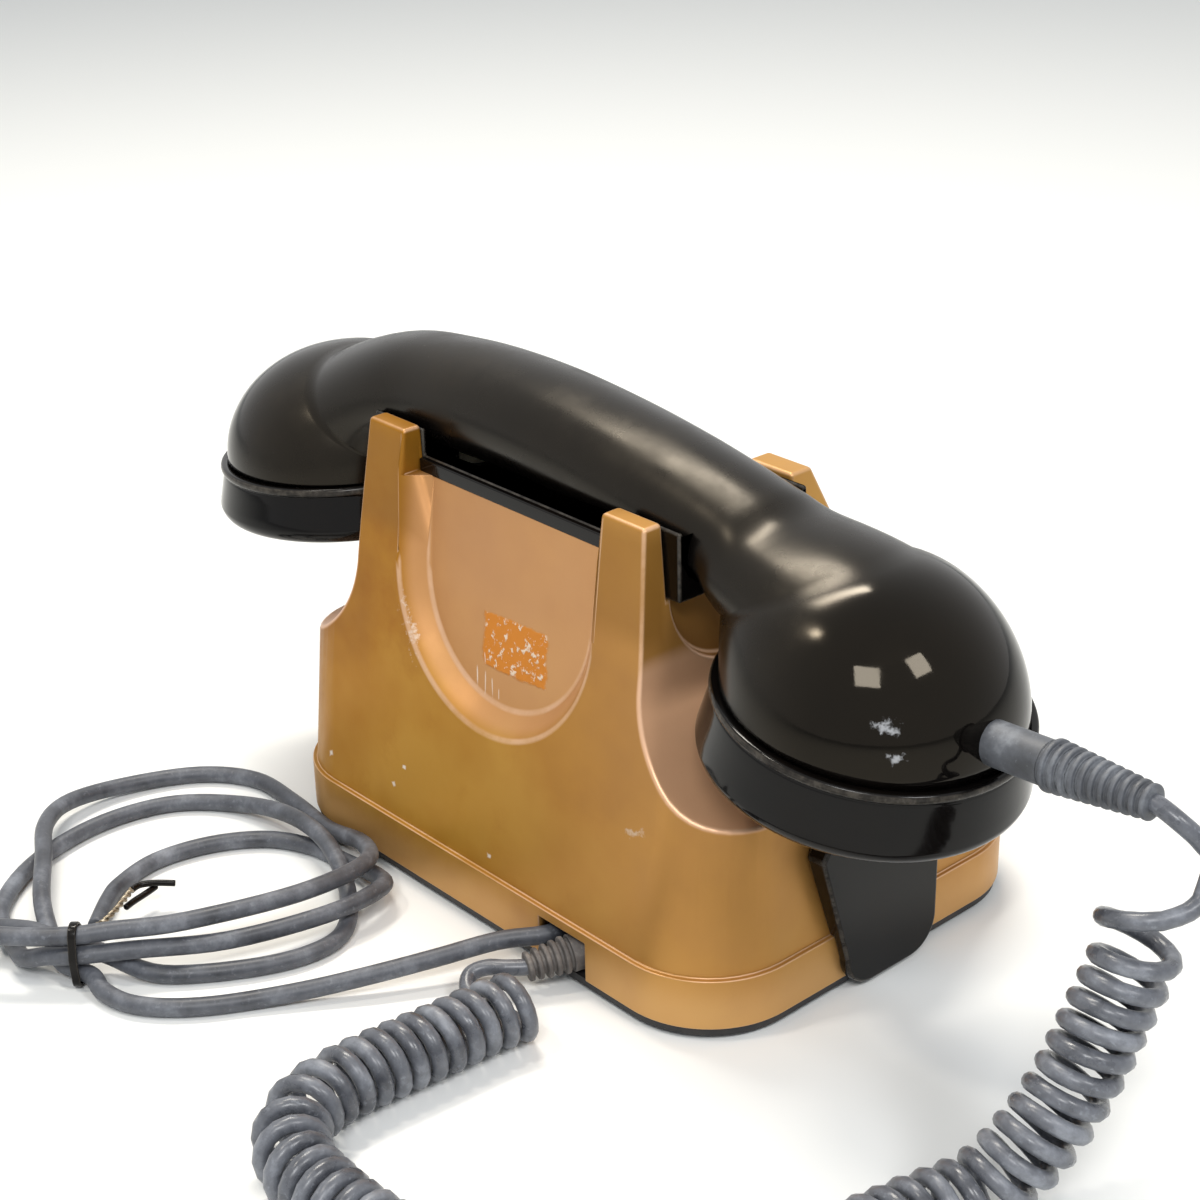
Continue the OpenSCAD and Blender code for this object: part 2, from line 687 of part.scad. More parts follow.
// Sections of the grip: x, z, angle, height above, height below, half width, squareness
function dome(s, x, z, tilt, t) = let (a = s > 0 ? t - tilt : 180 + tilt - t, d = 2 * dome_r * cos(t),
    ix = s * (x - dome_r * cos(tilt)), iz = z + dome_r * sin(tilt), ox = ix + d * cos(a), oz = iz + d * sin(a),
    jz = iz + dome_rise * t / 49, h = norm([ox - ix, oz - jz]) / 2)
    [(ix + ox) / 2, (jz + oz) / 2, atan2(oz - jz, ox - ix) + (s < 0 && oz < jz ? 360 : 0),
        h, h, dome_r * cos(t), 2];
function domes(s, x, z, tilt) = [for (t = [0:7:49]) dome(s, x, z, tilt, t)];
mouth_dome = domes(-1, mouth_x, mouth_z, mouth_tilt);
ear_dome = domes(1, ear_x, ear_z, ear_tilt);
arch = [[-0.688 * mouth_x, hand_z - 10.1, 119, grip_top + 1.2, 8.8, grip_end, 2.2],
    [-0.598 * mouth_x, hand_z - 7.3, 111, grip_top + 0.7, 8.2, grip_w + 0.3, 2.4],
    [-0.502 * mouth_x, hand_z - 4.9, 104, grip_top + 0.3, 10, grip_w, 2.5],
    [-0.335 * mouth_x, hand_z - 2.2, 97, grip_top, grip_low, grip_w, 2.5],
    [-0.12 * mouth_x, hand_z, 92, grip_top, grip_low, grip_w, 2.5],
    [0.12 * ear_x, hand_z, 88, grip_top, grip_low, grip_w, 2.5],
    [0.336 * ear_x, hand_z - 1.4, 83, grip_top, grip_low, grip_w, 2.5],
    [0.505 * ear_x, hand_z - 3.7, 76, grip_top + 0.2, 10.4, grip_w + 0.1, 2.4],
    [0.643 * ear_x, hand_z - 6.9, 65, grip_top + 1.1, 9.2, grip_end, 2.2]];
arch_line = spline(concat([mouth_dome[dome_rings - 1]], arch, [ear_dome[dome_rings - 1]]), 2);
stations = concat([for (i = [0:dome_rings - 2]) mouth_dome[i]], arch_line,
    [for (i = [dome_rings - 2:-1:0]) ear_dome[i]]);

function pw(v, e) = sign(v) * pow(abs(v), 2 / e);
function section(q, n) = [for (k = [0:n - 1]) let (c = cos(360 * k / n), d = sin(360 * k / n),
    u = pw(c, q[6]) * (c > 0 ? q[3] : q[4]), v = pw(d, q[6]) * q[5])
    [q[0] + u * cos(q[2]), hand_y - v, q[1] + u * sin(q[2])]];

module handset_grip() color(black) difference() {
    union() {
        skin([for (q = stations) section(q, 28)]);
        at_mouth() cylinder(h = neck_h, r = neck_r, $fn = 96);
        at_ear() cylinder(h = neck_h, r = neck_r, $fn = 96);
    }
    at_mouth() translate([0, 0, -neck_in - 1])
        cylinder(h = neck_in + through, r = neck_r - neck_wall, $fn = 96);
    at_ear() translate([0, 0, -neck_in - 1])
        cylinder(h = neck_in + through, r = neck_r - neck_wall, $fn = 96);
    aim(hand_cord_a, hand_cord_b) translate([0, 0, -4]) cylinder(h = 12, r = hand_relief_r + fit);
}

hole_rings = [[1, 0], [6, 0.21], [12, 0.42]];
sound_r = 1.3;

// Screw-on cap of depth h: bead at the joint, cone, rounded face with sound holes
module cap(h) difference() {
    rotate_extrude($fn = 96) polygon([[0, h - cap_t], [neck_r + fit, h - cap_t], [neck_r + fit, fit],
        [cap_top_r - 0.6, fit], [cap_top_r + 0.2, 0.6], [cap_top_r + 0.4, 1.2], [cap_top_r + 0.2, 1.8],
        [cap_top_r - 0.3, 2.4], [cap_top_r, 3], [cap_r, h - 3.4], [cap_r - 0.4, h - 1.8],
        [cap_r - 1.5, h - 0.6], [cap_r - 3.4, h], [0, h]]);
    for (q = hole_rings) for (k = [0:q[0] - 1]) rotate([0, 0, 360 * k / q[0]])
        translate([q[1] * cap_r, 0, h - cap_t - 1]) cylinder(h = cap_t + 2, r = sound_r, $fn = 24);
}

module mouth_cap() color(black) at_mouth() cap(mouth_cap_h);
module ear_cap() color(black) at_ear() cap(ear_cap_h);

// Round insert: a body in the neck and a wider flange under the cap's face
module capsule(h) {
    translate([0, 0, -neck_in]) cylinder(h = neck_h + neck_in + fit, r = neck_r - neck_wall - fit, $fn = 96);
    translate([0, 0, neck_h + fit]) cylinder(h = h - cap_t - neck_h - 2 * fit, r = neck_r - gap, $fn = 96);
}

module transmitter_capsule() color(steel) at_mouth() capsule(mouth_cap_h);
module receiver_capsule() color(steel) at_ear() capsule(ear_cap_h);

// Line that the handset cord's coil follows over the table and up to the mouthpiece
spine_pts = [[-40, 72, 7.8], [-38.5, 80, 7.8], [-37.8, 90, 7.8], [-36.8, 100, 7.8], [-36, 110, 7.8],
    [-36.2, 118, 7.8], [-38.8, 125.8, 7.8], [-44, 131, 7.8], [-51, 134.2, 7.8], [-60, 135.2, 7.8],
    [-70, 135.2, 7.8], [-85, 133, 7.9], [-102, 126, 8],
    [-116, 114, 8], [-126, 98, 8], [-133, 80, 8], [-137, 64, 8.2], [-142, 51, 10.5],
    [-145.6, 42.5, 18.5], [-147.3, 36, 26], [-148.4, 32, 33], [-149, 28, 40], [-149.6, 24, 47],
    [-149.8, 21, 54], [-149.6, 19, 60]];
spine = spline(spine_pts, 6);
spine_last = len(spine) - 1;
spine_side = sides_of(spine, [1, 0, 0]);
spine_run = [for (i = 0, s = 0; i <= spine_last; s = s + norm(spine[min(i + 1, spine_last)] - spine[i]),
    i = i + 1) s];
spine_len = spine_run[spine_last];
spine_tan = [for (i = [0:spine_last]) tangent(spine, i)];
// One over the bend's radius at each point of the line
spine_bend = [for (i = [0:spine_last]) let (a = max(i - 1, 0), b = min(i + 1, spine_last))
    norm(spine_tan[b] - spine_tan[a]) / (spine_run[b] - spine_run[a])];
curl_r = (curl_d - wire_d) / 2;
curl_grow = 0.5;
curl_steps = 8;
curl_start = 90;
curl_turns = curls + 0.75;
loose_len = 12;

function loose(s) = max(0, (s - spine_len + loose_len) / loose_len);
function coil_r(s) = curl_r + curl_grow * s / spine_len + 1.5 * loose(s);
// Share of a curl per mm of line: fewer curls where it bends, so that their inner sides keep apart
curl_share = [for (i = [0:spine_last]) (1 - min(0.6, spine_bend[i] * coil_r(spine_run[i])))
    / (1 + 2.6 * loose(spine_run[i]))];
curl_sum = [for (i = 0, q = 0; i <= spine_last; q = q + (curl_share[i] + curl_share[min(i + 1, spine_last)]) / 2
    * (spine_run[min(i + 1, spine_last)] - spine_run[i]), i = i + 1) q];
curl_pitch = curl_sum[spine_last] / curl_turns;
coil_last = curl_turns * curl_steps;

function span_of(list, q, i = 0) = i >= spine_last - 1 || list[i + 1] > q ? i : span_of(list, q, i + 1);
function blend(a, b, f) = a * (1 - f) + b * f;
// Point and heading of the wire after k steps
function curl_at(k) = let (q = curl_sum[spine_last] * k / coil_last, i = span_of(curl_sum, q),
    f = (q - curl_sum[i]) / (curl_sum[i + 1] - curl_sum[i]), s = blend(spine_run[i], spine_run[i + 1], f),
    t = unit(blend(spine_tan[i], spine_tan[i + 1], f)),
    u = turned(blend(spine_side[i], spine_side[i + 1], f), t), v = cross(t, u),
    a = curl_start + 360 * k / curl_steps, r = coil_r(s), rise = curl_pitch / (2 * PI * r)
    * (1 + 2.6 * loose(s)))
    [blend(spine[i], spine[i + 1], f) + r * (cos(a) * u + sin(a) * v),
        unit(rise * t - sin(a) * u + cos(a) * v)];
coil_from = curl_at(0);
coil_to = curl_at(coil_last);
coil_path = concat([coil_from[0] - wire_d * coil_from[1]], [for (k = [0:coil_last]) curl_at(k)[0]],
    [coil_to[0] + wire_d * coil_to[1]]);

// Least gap between a tube of thickness d along p and itself, over points skip to reach steps apart
function self_gap(p, d, skip, reach) = min([for (i = [0:len(p) - 1 - skip])
    min([for (j = [i + skip:min(i + reach, len(p) - 1)]) norm(p[i] - p[j])])]) - d;

// Tube along p whose end rings stand square to the headings a and b
module cord(p, a, b, r, sides) {
    q = concat([p[0], p[0] + 0.4 * r * unit(a)], [for (i = [1:len(p) - 2]) p[i]],
        [p[len(p) - 1] - 0.4 * r * unit(b), p[len(p) - 1]]);
    tube(q, r, sides);
}

base_tail = [base_cord_b, base_cord_b + [2.3, 4.3, -0.2], base_cord_b + [6.8, 6.9, -0.6],
    base_cord_b + [6, 9.3, -1.8], base_cord_b + [0.6, 9.9, -3.6], coil_path[0]];
top_tail = [hand_cord_b + [-0.3, 0, 0], hand_cord_b + [-4.9, -0.5, -1.8], hand_cord_b + [-8.3, -2.7, -5.4],
    hand_cord_b + [-9.8, -4.3, -9.6], coil_path[len(coil_path) - 1]];

module handset_cord_coil() color(cord_grey) tube(coil_path, wire_d / 2, 6);
module handset_cord_base() color(cord_grey)
    cord(spline(base_tail, 4), base_cord_b - base_cord_a, coil_from[1], wire_d / 2, 8);
module handset_cord_top() color(cord_grey)
    cord(spline(top_tail, 4), hand_cord_b - hand_cord_a, -coil_to[1], wire_d / 2, 8);

echo(curls = curl_turns, pitch = curl_pitch, coil_gap = self_gap(coil_path, wire_d, 5, 22));  // handset_cord_coil

line_route = [
    [-25.2, half_d - 9.2, 8.4], [-25.2, half_d - 4.4, 8.5], [-24.9, half_d, 8.6],
    [-18.8, 60.5, 7.8], [-13.2, 72.5, 6.4],
    [-7, 84.5, 4.8], [-0.5, 95.5, 3.2], [6, 106, 2.2], [11.2, 114.6, 2.1], [17, 121.4, 2.1],
    [23.4, 125.8, 2.1], [30.5, 127.4, 2.3], [35.5, 126.6, 2.8], [39.4, 127.6, 3.1]];

// Turns of the tied hank, each one row: middle, half length and half width, slant, how pear-shaped and how
// square it is, the angles from which and to which it runs, and the cord's heights at equal steps on the way
hank_turns = [
    [[62.7, 85.6], [40.4, 42.3], -18, [-0.22, 0.22], [104, -190],
        [6, 7.1, 6.6, 4.6, 2.6, 2.1, 2.1, 2.1, 2.6, 6.8, 10, 11.5, 11.9]],
    [[60, 140.6], [18.5, 7.2], 33, [0.1, 0.3], [104, -122], [12, 9.5, 5, 3.2, 6, 7.8]],
    [[50.7, 93.2], [40.3, 34.8], 19, [0.32, 0], [112, 421],
        [2.4, 2.1, 2.1, 2.1, 4.6, 7.3, 5.5, 2.6, 2.1, 2.1, 2.1, 2.1, 2.4]],
    [[42.8, 87.5], [24.3, 35.2], -21, [-0.29, 0.15], [174, 412],
        [6.9, 7.2, 6.8, 3.9, 2.2, 2.1, 2.1, 2.1, 2.1, 2.1]]];

function hank_turn(q) = [for (i = [0:len(q[5]) - 1])
    let (a = blend(q[4][0], q[4][1], i / (len(q[5]) - 1)), u = q[1][0] * cos(a),
        v = q[1][1] * sin(a) * (1 + q[3][0] * cos(a) + q[3][1] * cos(2 * a)))
    [q[0][0] + u * cos(q[2]) - v * sin(q[2]), q[0][1] + u * sin(q[2]) + v * cos(q[2]), q[5][i]]];

// The turns in order, with the places where the cord passes through the tie between them
hank_line = concat([[39.4, 127.6, 3.1], [44.2, 128.8, 3.2], [50.4, 127.2, 3.3]], hank_turn(hank_turns[0]),
    [[35, 121.2, 12.4], [39, 127.7, 12.2], [45.4, 134.9, 12]], hank_turn(hank_turns[1]),
    [[46.5, 128, 7.6], [41.8, 125.4, 7.6], [37.6, 121, 4.6]], hank_turn(hank_turns[2]),
    [[50.5, 134.4, 4], [44.4, 132.7, 6.6], [38.4, 128.6, 7.8], [31.5, 118.5, 8]], hank_turn(hank_turns[3]),
    [[60.5, 108.2, 2.2], [51.8, 116.3, 3.2]]);
hank_route = spline(hank_line, 2);
echo(turns = len(hank_turns),  // line_cord_hank
    hank_gap = self_gap(spline(hank_line, 10), line_d, 30, 1000));

tie_at = [39.4, 127.6, 0];
tie_turn = 47;

module line_cord() color(cord_grey)
    cord(spline(line_route, 3), [0, 1, 0], [0.99, 0.15, 0.07], line_d / 2, 8);

module line_cord_hank() color(cord_grey)
    cord(hank_route, [0.99, 0.15, 0.07], [-0.73, 0.68, 0.08], line_d / 2, 8);

module tie_outline(r) hull() for (q = [[0.4, 12.2], [1.4, 7.8], [-3.3, 7.6], [0.9, 3.1], [-0.9, 3.1]])
    translate(q) circle(r, $fn = 24);

module line_cord_tie() color(black) translate(tie_at) rotate([90, 0, tie_turn + 90])
    translate([0, 0, -0.9]) linear_extrude(1.8) difference() {
        tie_outline(line_d / 2 + 0.95);
        tie_outline(line_d / 2 + 0.35);
    }

wire_core = [[51.4, 116.7, 3.4], [49.4, 118.4, 4.4], [47.6, 118.6, 6.2], [46.6, 117, 7.2], [48.7, 112.9, 7.2],
    [51.4, 109, 7.1], [53.8, 105.6, 7]];
wire_tail_a = [[53.8, 105.6, 7], [54.4, 103.2, 6.9], [53.2, 100, 6.6], [50.8, 96.3, 6]];
wire_tail_b = [[51.4, 109, 4.9], [52.4, 106.2, 4.9], [53.2, 102.6, 5], [53.9, 99.4, 5.2]];

module line_cord_wires() color(black) {
    tube(spline(wire_core, 3), 0.8, 8);
    tube(spline(wire_tail_a, 3), 0.75, 8);
    tube(spline(wire_tail_b, 3), 0.75, 8);
}

body_shell();
base_plate();
rubber_feet();
base_screws();
cradle_saddle();
side_cover();
cradle_plungers();
plunger_yoke();
hook_switch_bracket();
hook_switch_springs();
dial_mount();
dial_case();
number_plate();
finger_wheel_hub();
finger_wheel_webs();
finger_wheel_rim();
dial_centre_cap();
dial_spindle();
finger_stop();
gong_left();
gong_right();
gong_screws();
ringer_coils();
ringer_yoke();
clapper();
induction_coil();
capacitor();
terminal_block();
terminal_screws();
cord_clamp();
handset_grip();
mouth_cap();
ear_cap();
transmitter_capsule();
receiver_capsule();
handset_strain_relief();
base_strain_relief();
handset_cord_base();
handset_cord_coil();
handset_cord_top();
line_cord();
line_cord_hank();
line_cord_tie();
line_cord_wires();
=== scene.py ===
import math

import bmesh
import bpy
from mathutils import Matrix, Quaternion, Vector
from mathutils.bvhtree import BVHTree


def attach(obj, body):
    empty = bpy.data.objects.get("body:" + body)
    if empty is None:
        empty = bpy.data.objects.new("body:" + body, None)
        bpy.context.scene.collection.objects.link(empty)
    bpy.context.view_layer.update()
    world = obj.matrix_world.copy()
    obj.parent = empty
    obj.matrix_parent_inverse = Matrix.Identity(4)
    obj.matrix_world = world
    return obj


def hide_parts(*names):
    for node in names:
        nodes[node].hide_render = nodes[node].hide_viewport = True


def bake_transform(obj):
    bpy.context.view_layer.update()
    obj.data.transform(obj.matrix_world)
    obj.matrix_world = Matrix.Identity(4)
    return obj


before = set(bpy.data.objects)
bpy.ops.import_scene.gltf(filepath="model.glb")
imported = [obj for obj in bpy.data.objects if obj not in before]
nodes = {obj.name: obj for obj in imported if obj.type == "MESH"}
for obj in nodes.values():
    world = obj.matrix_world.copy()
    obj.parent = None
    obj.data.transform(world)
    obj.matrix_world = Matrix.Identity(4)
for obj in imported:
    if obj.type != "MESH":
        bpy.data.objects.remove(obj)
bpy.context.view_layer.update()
MM = 0.001

# Camera and studio. The camera stands behind the telephone on the mouthpiece side, a little above it. A pale
# floor and a white surround carry soft light from two large lamps overhead and one small one.
scene = bpy.context.scene
scene.view_settings.view_transform = "Standard"
eye = Vector((-0.3371, 0.3110, 0.2764))
aim_point = Vector((0.006881, 0.006784, 0.061278))
camera = bpy.data.objects.new("camera", bpy.data.cameras.new("camera"))
camera.data.lens = 68.02
camera.data.sensor_width = 36
camera.data.clip_start = 0.01
camera.rotation_mode = "QUATERNION"
camera.location = eye
camera.rotation_quaternion = (aim_point - eye).to_track_quat("-Z", "Y") @ Quaternion((0, 0, 1), math.radians(-1.21))
scene.collection.objects.link(camera)
scene.camera = camera


def lamp(name, place, target, size, watts, tint=(1, 1, 1)):
    light = bpy.data.lights.new(name, "AREA")
    light.shape = "RECTANGLE"
    light.size, light.size_y = size
    light.energy = watts
    light.color = tint
    holder = bpy.data.objects.new(name, light)
    holder.location = place
    holder.rotation_mode = "QUATERNION"
    holder.rotation_quaternion = (Vector(target) - Vector(place)).to_track_quat("-Z", "Y")
    scene.collection.objects.link(holder)


lamp("window_left", (-0.69, 0.77, 1.02), (0, 0, 0.05), (0.4, 0.32), 7.8)
lamp("window_right", (-0.97, -0.02, 1.03), (0, 0, 0.05), (0.3, 0.3), 5.5)
lamp("ceiling", (0.38, -0.16, 1.0), (0, 0, 0.08), (0.5, 0.12), 8.0, (1, 0.94, 0.84))
lamp("bulb", (0.17, 0.44, 0.84), (-0.08, 0.02, 0.08), (0.08, 0.08), 1.6, (1, 0.93, 0.82))


def put(tree, kind, inputs=None, **settings):
    made = tree.nodes.new(kind)
    for key, value in settings.items():
        setattr(made, key, value)
    for key, value in (inputs or {}).items():
        if isinstance(value, bpy.types.NodeSocket):
            tree.links.new(value, made.inputs[key])
        else:
            made.inputs[key].default_value = value
    return made


def paint(r, g, b):
    def linear(c):
        c = c / 255
        return c / 12.92 if c <= 0.04045 else ((c + 0.055) / 1.055) ** 2.4
    return (linear(r), linear(g), linear(b), 1)


world = bpy.data.worlds.new("surround")
scene.world = world
world.use_nodes = True
tree = world.node_tree
tree.nodes.clear()
rays = put(tree, "ShaderNodeLightPath")
seen = put(tree, "ShaderNodeMath", {0: rays.outputs["Is Camera Ray"], 1: rays.outputs["Is Transmission Ray"]},
           operation="MAXIMUM")
seen = put(tree, "ShaderNodeMath", {0: seen.outputs[0], 1: rays.outputs["Is Glossy Ray"]}, operation="MAXIMUM")
lit = put(tree, "ShaderNodeBackground", {"Color": (0.9, 0.95, 1, 1), "Strength": 0.42})
plain = put(tree, "ShaderNodeBackground", {"Color": (1, 1, 1, 1), "Strength": 1})
both = put(tree, "ShaderNodeMixShader", {0: seen.outputs[0], 1: lit.outputs[0], 2: plain.outputs[0]})
put(tree, "ShaderNodeOutputWorld", {"Surface": both.outputs[0]})

floor_mesh = bmesh.new()
bmesh.ops.create_grid(floor_mesh, x_segments=2, y_segments=2, size=3)
floor = bpy.data.objects.new("floor", bpy.data.meshes.new("floor"))
floor_mesh.to_mesh(floor.data)
floor_mesh.free()
scene.collection.objects.link(floor)
pale = bpy.data.materials.new("pale_floor")
pale.use_nodes = True
tree = pale.node_tree
tree.nodes["Principled BSDF"].inputs["Roughness"].default_value = 0.85
tree.nodes["Principled BSDF"].inputs["Base Color"].default_value = (0.86, 0.87, 0.86, 1)
floor.data.materials.append(pale)


# Base plate, feet and screws. A flat pressed plate closes the telephone from below, held by four screws that
# go up into the shell's bosses. Four turned rubber feet are pushed through it.
def finish(name, roughness, metallic=0.0, specular=0.5, coat=0.0, coat_roughness=0.08):
    made = bpy.data.materials.new(name)
    made.use_nodes = True
    shader = made.node_tree.nodes["Principled BSDF"]
    shader.inputs["Roughness"].default_value = roughness
    shader.inputs["Metallic"].default_value = metallic
    shader.inputs["Specular IOR Level"].default_value = specular
    shader.inputs["Coat Weight"].default_value = coat
    shader.inputs["Coat Roughness"].default_value = coat_roughness
    return made


def grain(tree, scale, detail=4, rough=0.55, stretch=(1, 1, 1), turn=(0, 0, 0)):
    place = put(tree, "ShaderNodeTexCoord").outputs["Object"]
    if stretch != (1, 1, 1) or turn != (0, 0, 0):
        place = put(tree, "ShaderNodeMapping", {"Vector": place, "Scale": stretch, "Rotation": turn}).outputs[0]
    return put(tree, "ShaderNodeTexNoise", {"Vector": place, "Scale": scale, "Detail": detail, "Roughness": rough}
               ).outputs["Fac"]


def ramp(tree, value, *stops):
    made = put(tree, "ShaderNodeValToRGB", {"Fac": value})
    keys = made.color_ramp.elements
    while len(keys) < len(stops):
        keys.new(0.5)
    for key, (at, colour) in zip(keys, stops):
        key.position = at
        key.color = colour if len(tuple(colour)) == 4 else (*colour, 1)
    return made.outputs["Color"]


def between(tree, value, low, high, out_low=0.0, out_high=1.0):
    return put(tree, "ShaderNodeMapRange", {"Value": value, "From Min": low, "From Max": high, "To Min": out_low,
               "To Max": out_high}, interpolation_type="SMOOTHSTEP").outputs[0]


def times(tree, a, b, operation="MULTIPLY"):
    return put(tree, "ShaderNodeMath", {0: a, 1: b}, operation=operation).outputs[0]


def mixed(tree, share, a, b):
    return put(tree, "ShaderNodeMix", {0: share, 6: a, 7: b}, data_type="RGBA").outputs[2]


def bump(tree, height, depth, strength=1.0, before=None):
    inputs = {"Height": height, "Distance": depth, "Strength": strength}
    if before:
        inputs["Normal"] = before
    return put(tree, "ShaderNodeBump", inputs).outputs[0]


def mottled(name, dark, mid, light, roughness, scale=60, fine=900, depth=0.00005, **look):
    made = finish(name, roughness, **look)
    tree = made.node_tree
    shader = tree.nodes["Principled BSDF"]
    cloud = grain(tree, scale, 6, 0.62)
    specks = grain(tree, fine, 3, 0.6)
    colour = ramp(tree, cloud, (0.3, dark), (0.5, mid), (0.72, light))
    tree.links.new(mixed(tree, between(tree, specks, 0.62, 0.75, 0, 0.5), colour, light), shader.inputs["Base Color"])
    tree.links.new(between(tree, cloud, 0.3, 0.7, roughness - 0.07, roughness + 0.09), shader.inputs["Roughness"])
    tree.links.new(bump(tree, specks, depth, 0.6), shader.inputs["Normal"])
    return made


def wear(node, material):
    target = nodes[node]
    target.data.materials.clear()
    target.data.materials.append(material)


plate_paint = mottled("plate_paint", paint(18, 18, 20), paint(28, 28, 30), paint(62, 58, 54), 0.5, 45, 1200, 0.00004)
foot_rubber = mottled("foot_rubber", paint(20, 20, 21), paint(32, 32, 33), paint(70, 68, 64), 0.82, 120, 2000)
zinc = mottled("zinc_steel", paint(112, 112, 110), paint(150, 150, 146), paint(188, 186, 178), 0.38, 140, 1500,
               0.00002, metallic=0.9)
wear("base_plate", plate_paint)
wear("rubber_feet", foot_rubber)
wear("base_screws", zinc)


# Works inside the shell: ringer with two brass gongs, bobbins and clapper, induction coil, capacitor can,
# terminal block and hook switch. Stamped and wound parts, screwed to the base plate or hung from the deck.
brass = mottled("gong_brass", paint(132, 104, 52), paint(184, 150, 84), paint(212, 184, 122), 0.3, 70, 1400, 0.00002,
                metallic=0.95)
can_metal = mottled("can_aluminium", paint(140, 142, 144), paint(172, 173, 174), paint(204, 204, 202), 0.42, 90, 900,
                    0.00002, metallic=0.85)
moulded = mottled("block_phenolic", paint(22, 17, 14), paint(36, 28, 23), paint(66, 54, 44), 0.42, 80, 1500)
nickel = mottled("blade_nickel", paint(150, 146, 132), paint(186, 180, 160), paint(214, 210, 196), 0.28, 200, 1800,
                 0.00001, metallic=0.95)


def wound(name, dark, light, pitch, axis):
    made = finish(name, 0.36, coat=0.3)
    tree = made.node_tree
    place = put(tree, "ShaderNodeTexCoord").outputs["Object"]
    line = put(tree, "ShaderNodeSeparateXYZ", {0: place}).outputs[axis]
    wave = put(tree, "ShaderNodeMath", {0: times(tree, line, math.tau / pitch)}, operation="SINE").outputs[0]
    wire = between(tree, wave, -1.0, 1.0)
    cloud = grain(tree, 160, 4)
    colour = ramp(tree, times(tree, wire, between(tree, cloud, 0.3, 0.7, 0.6, 1.0)), (0.1, dark), (0.9, light))
    tree.links.new(colour, tree.nodes["Principled BSDF"].inputs["Base Color"])
    tree.links.new(bump(tree, wire, 0.0001, 0.8), tree.nodes["Principled BSDF"].inputs["Normal"])
    return made


enamel_wire = wound("enamelled_wire", paint(58, 20, 12), paint(150, 62, 34), 0.0003, 1)
taped_wire = wound("taped_winding", paint(34, 28, 20), paint(92, 78, 54), 0.0016, 1)
for part, material in (("ringer_yoke", zinc), ("gong_left", brass), ("gong_right", brass), ("gong_screws", zinc),
                       ("ringer_coils", enamel_wire), ("clapper", zinc), ("induction_coil", taped_wire),
                       ("capacitor", can_metal), ("terminal_block", moulded), ("terminal_screws", nickel),
                       ("hook_switch_bracket", zinc), ("hook_switch_springs", nickel), ("plunger_yoke", zinc),
                       ("dial_case", can_metal), ("dial_spindle", nickel), ("cord_clamp", zinc)):
    wear(part, material)


# Body shell. One thick casting, painted satin copper over its whole outside and worn pale along every rounded
# edge. A painted highlight lightens the finger hollow, with a square of old glue; chipped low on the back.
def rounded(name, node, width, sharp=28, segments=3, tidy=0.6):
    work = bmesh.new()
    work.from_mesh(nodes[node].data)
    bmesh.ops.remove_doubles(work, verts=work.verts, dist=2e-6)
    bmesh.ops.dissolve_limit(work, angle_limit=math.radians(tidy), use_dissolve_boundaries=False,
                             verts=work.verts, edges=work.edges, delimit=set())
    edges = [e for e in work.edges if len(e.link_faces) == 2 and e.calc_face_angle() > math.radians(sharp)]
    done = bmesh.ops.bevel(work, geom=edges, offset=width, offset_type="OFFSET", segments=segments, profile=0.5,
                           affect="EDGES", clamp_overlap=False, material=-1)
    strips = set(done["faces"])
    worn = work.verts.layers.float.new("worn")
    for face in strips:
        for vertex in face.verts:
            if all(f in strips for f in vertex.link_faces):
                vertex[worn] = 1
    return piece(name, work)


def piece(name, work, smooth=True):
    mesh = bpy.data.meshes.new(name)
    for face in work.faces:
        face.smooth = smooth
    work.to_mesh(mesh)
    work.free()
    made = bpy.data.objects.new(name, mesh)
    scene.collection.objects.link(made)
    return made


def even(target):
    shade = target.modifiers.new("even_shading", "WEIGHTED_NORMAL")
    shade.keep_sharp = True
    return target


def fit(target, body, material, replaced=()):
    target.data.materials.clear()
    target.data.materials.append(material)
    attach(target, body)
    if replaced:
        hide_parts(*replaced)
    return target


def mark(tree, middle, half, slant=0.0, soft=0.15, ragged=0.0, rough=350):
    place = put(tree, "ShaderNodeTexCoord").outputs["Object"]
    local = put(tree, "ShaderNodeMapping", {
        "Vector": place, "Location": [c * MM for c in middle], "Scale": [c * MM for c in half],
        "Rotation": (math.radians(7.14), math.radians(slant), 0)}, vector_type="TEXTURE").outputs[0]
    axes = put(tree, "ShaderNodeSeparateXYZ", {0: put(tree, "ShaderNodeVectorMath", {0: local},
                                                       operation="ABSOLUTE").outputs[0]})
    reach = times(tree, times(tree, axes.outputs[0], axes.outputs[1], "MAXIMUM"), axes.outputs[2], "MAXIMUM")
    if ragged:
        reach = times(tree, reach, between(tree, grain(tree, rough, 5, 0.7), 0.25, 0.75, 0, ragged), "ADD")
    return between(tree, reach, 1 - soft, 1 + soft, 1, 0)


def stain_and_light(tree, colour, share, strength, tint):
    return mixed(tree, times(tree, share, strength), colour, tint)


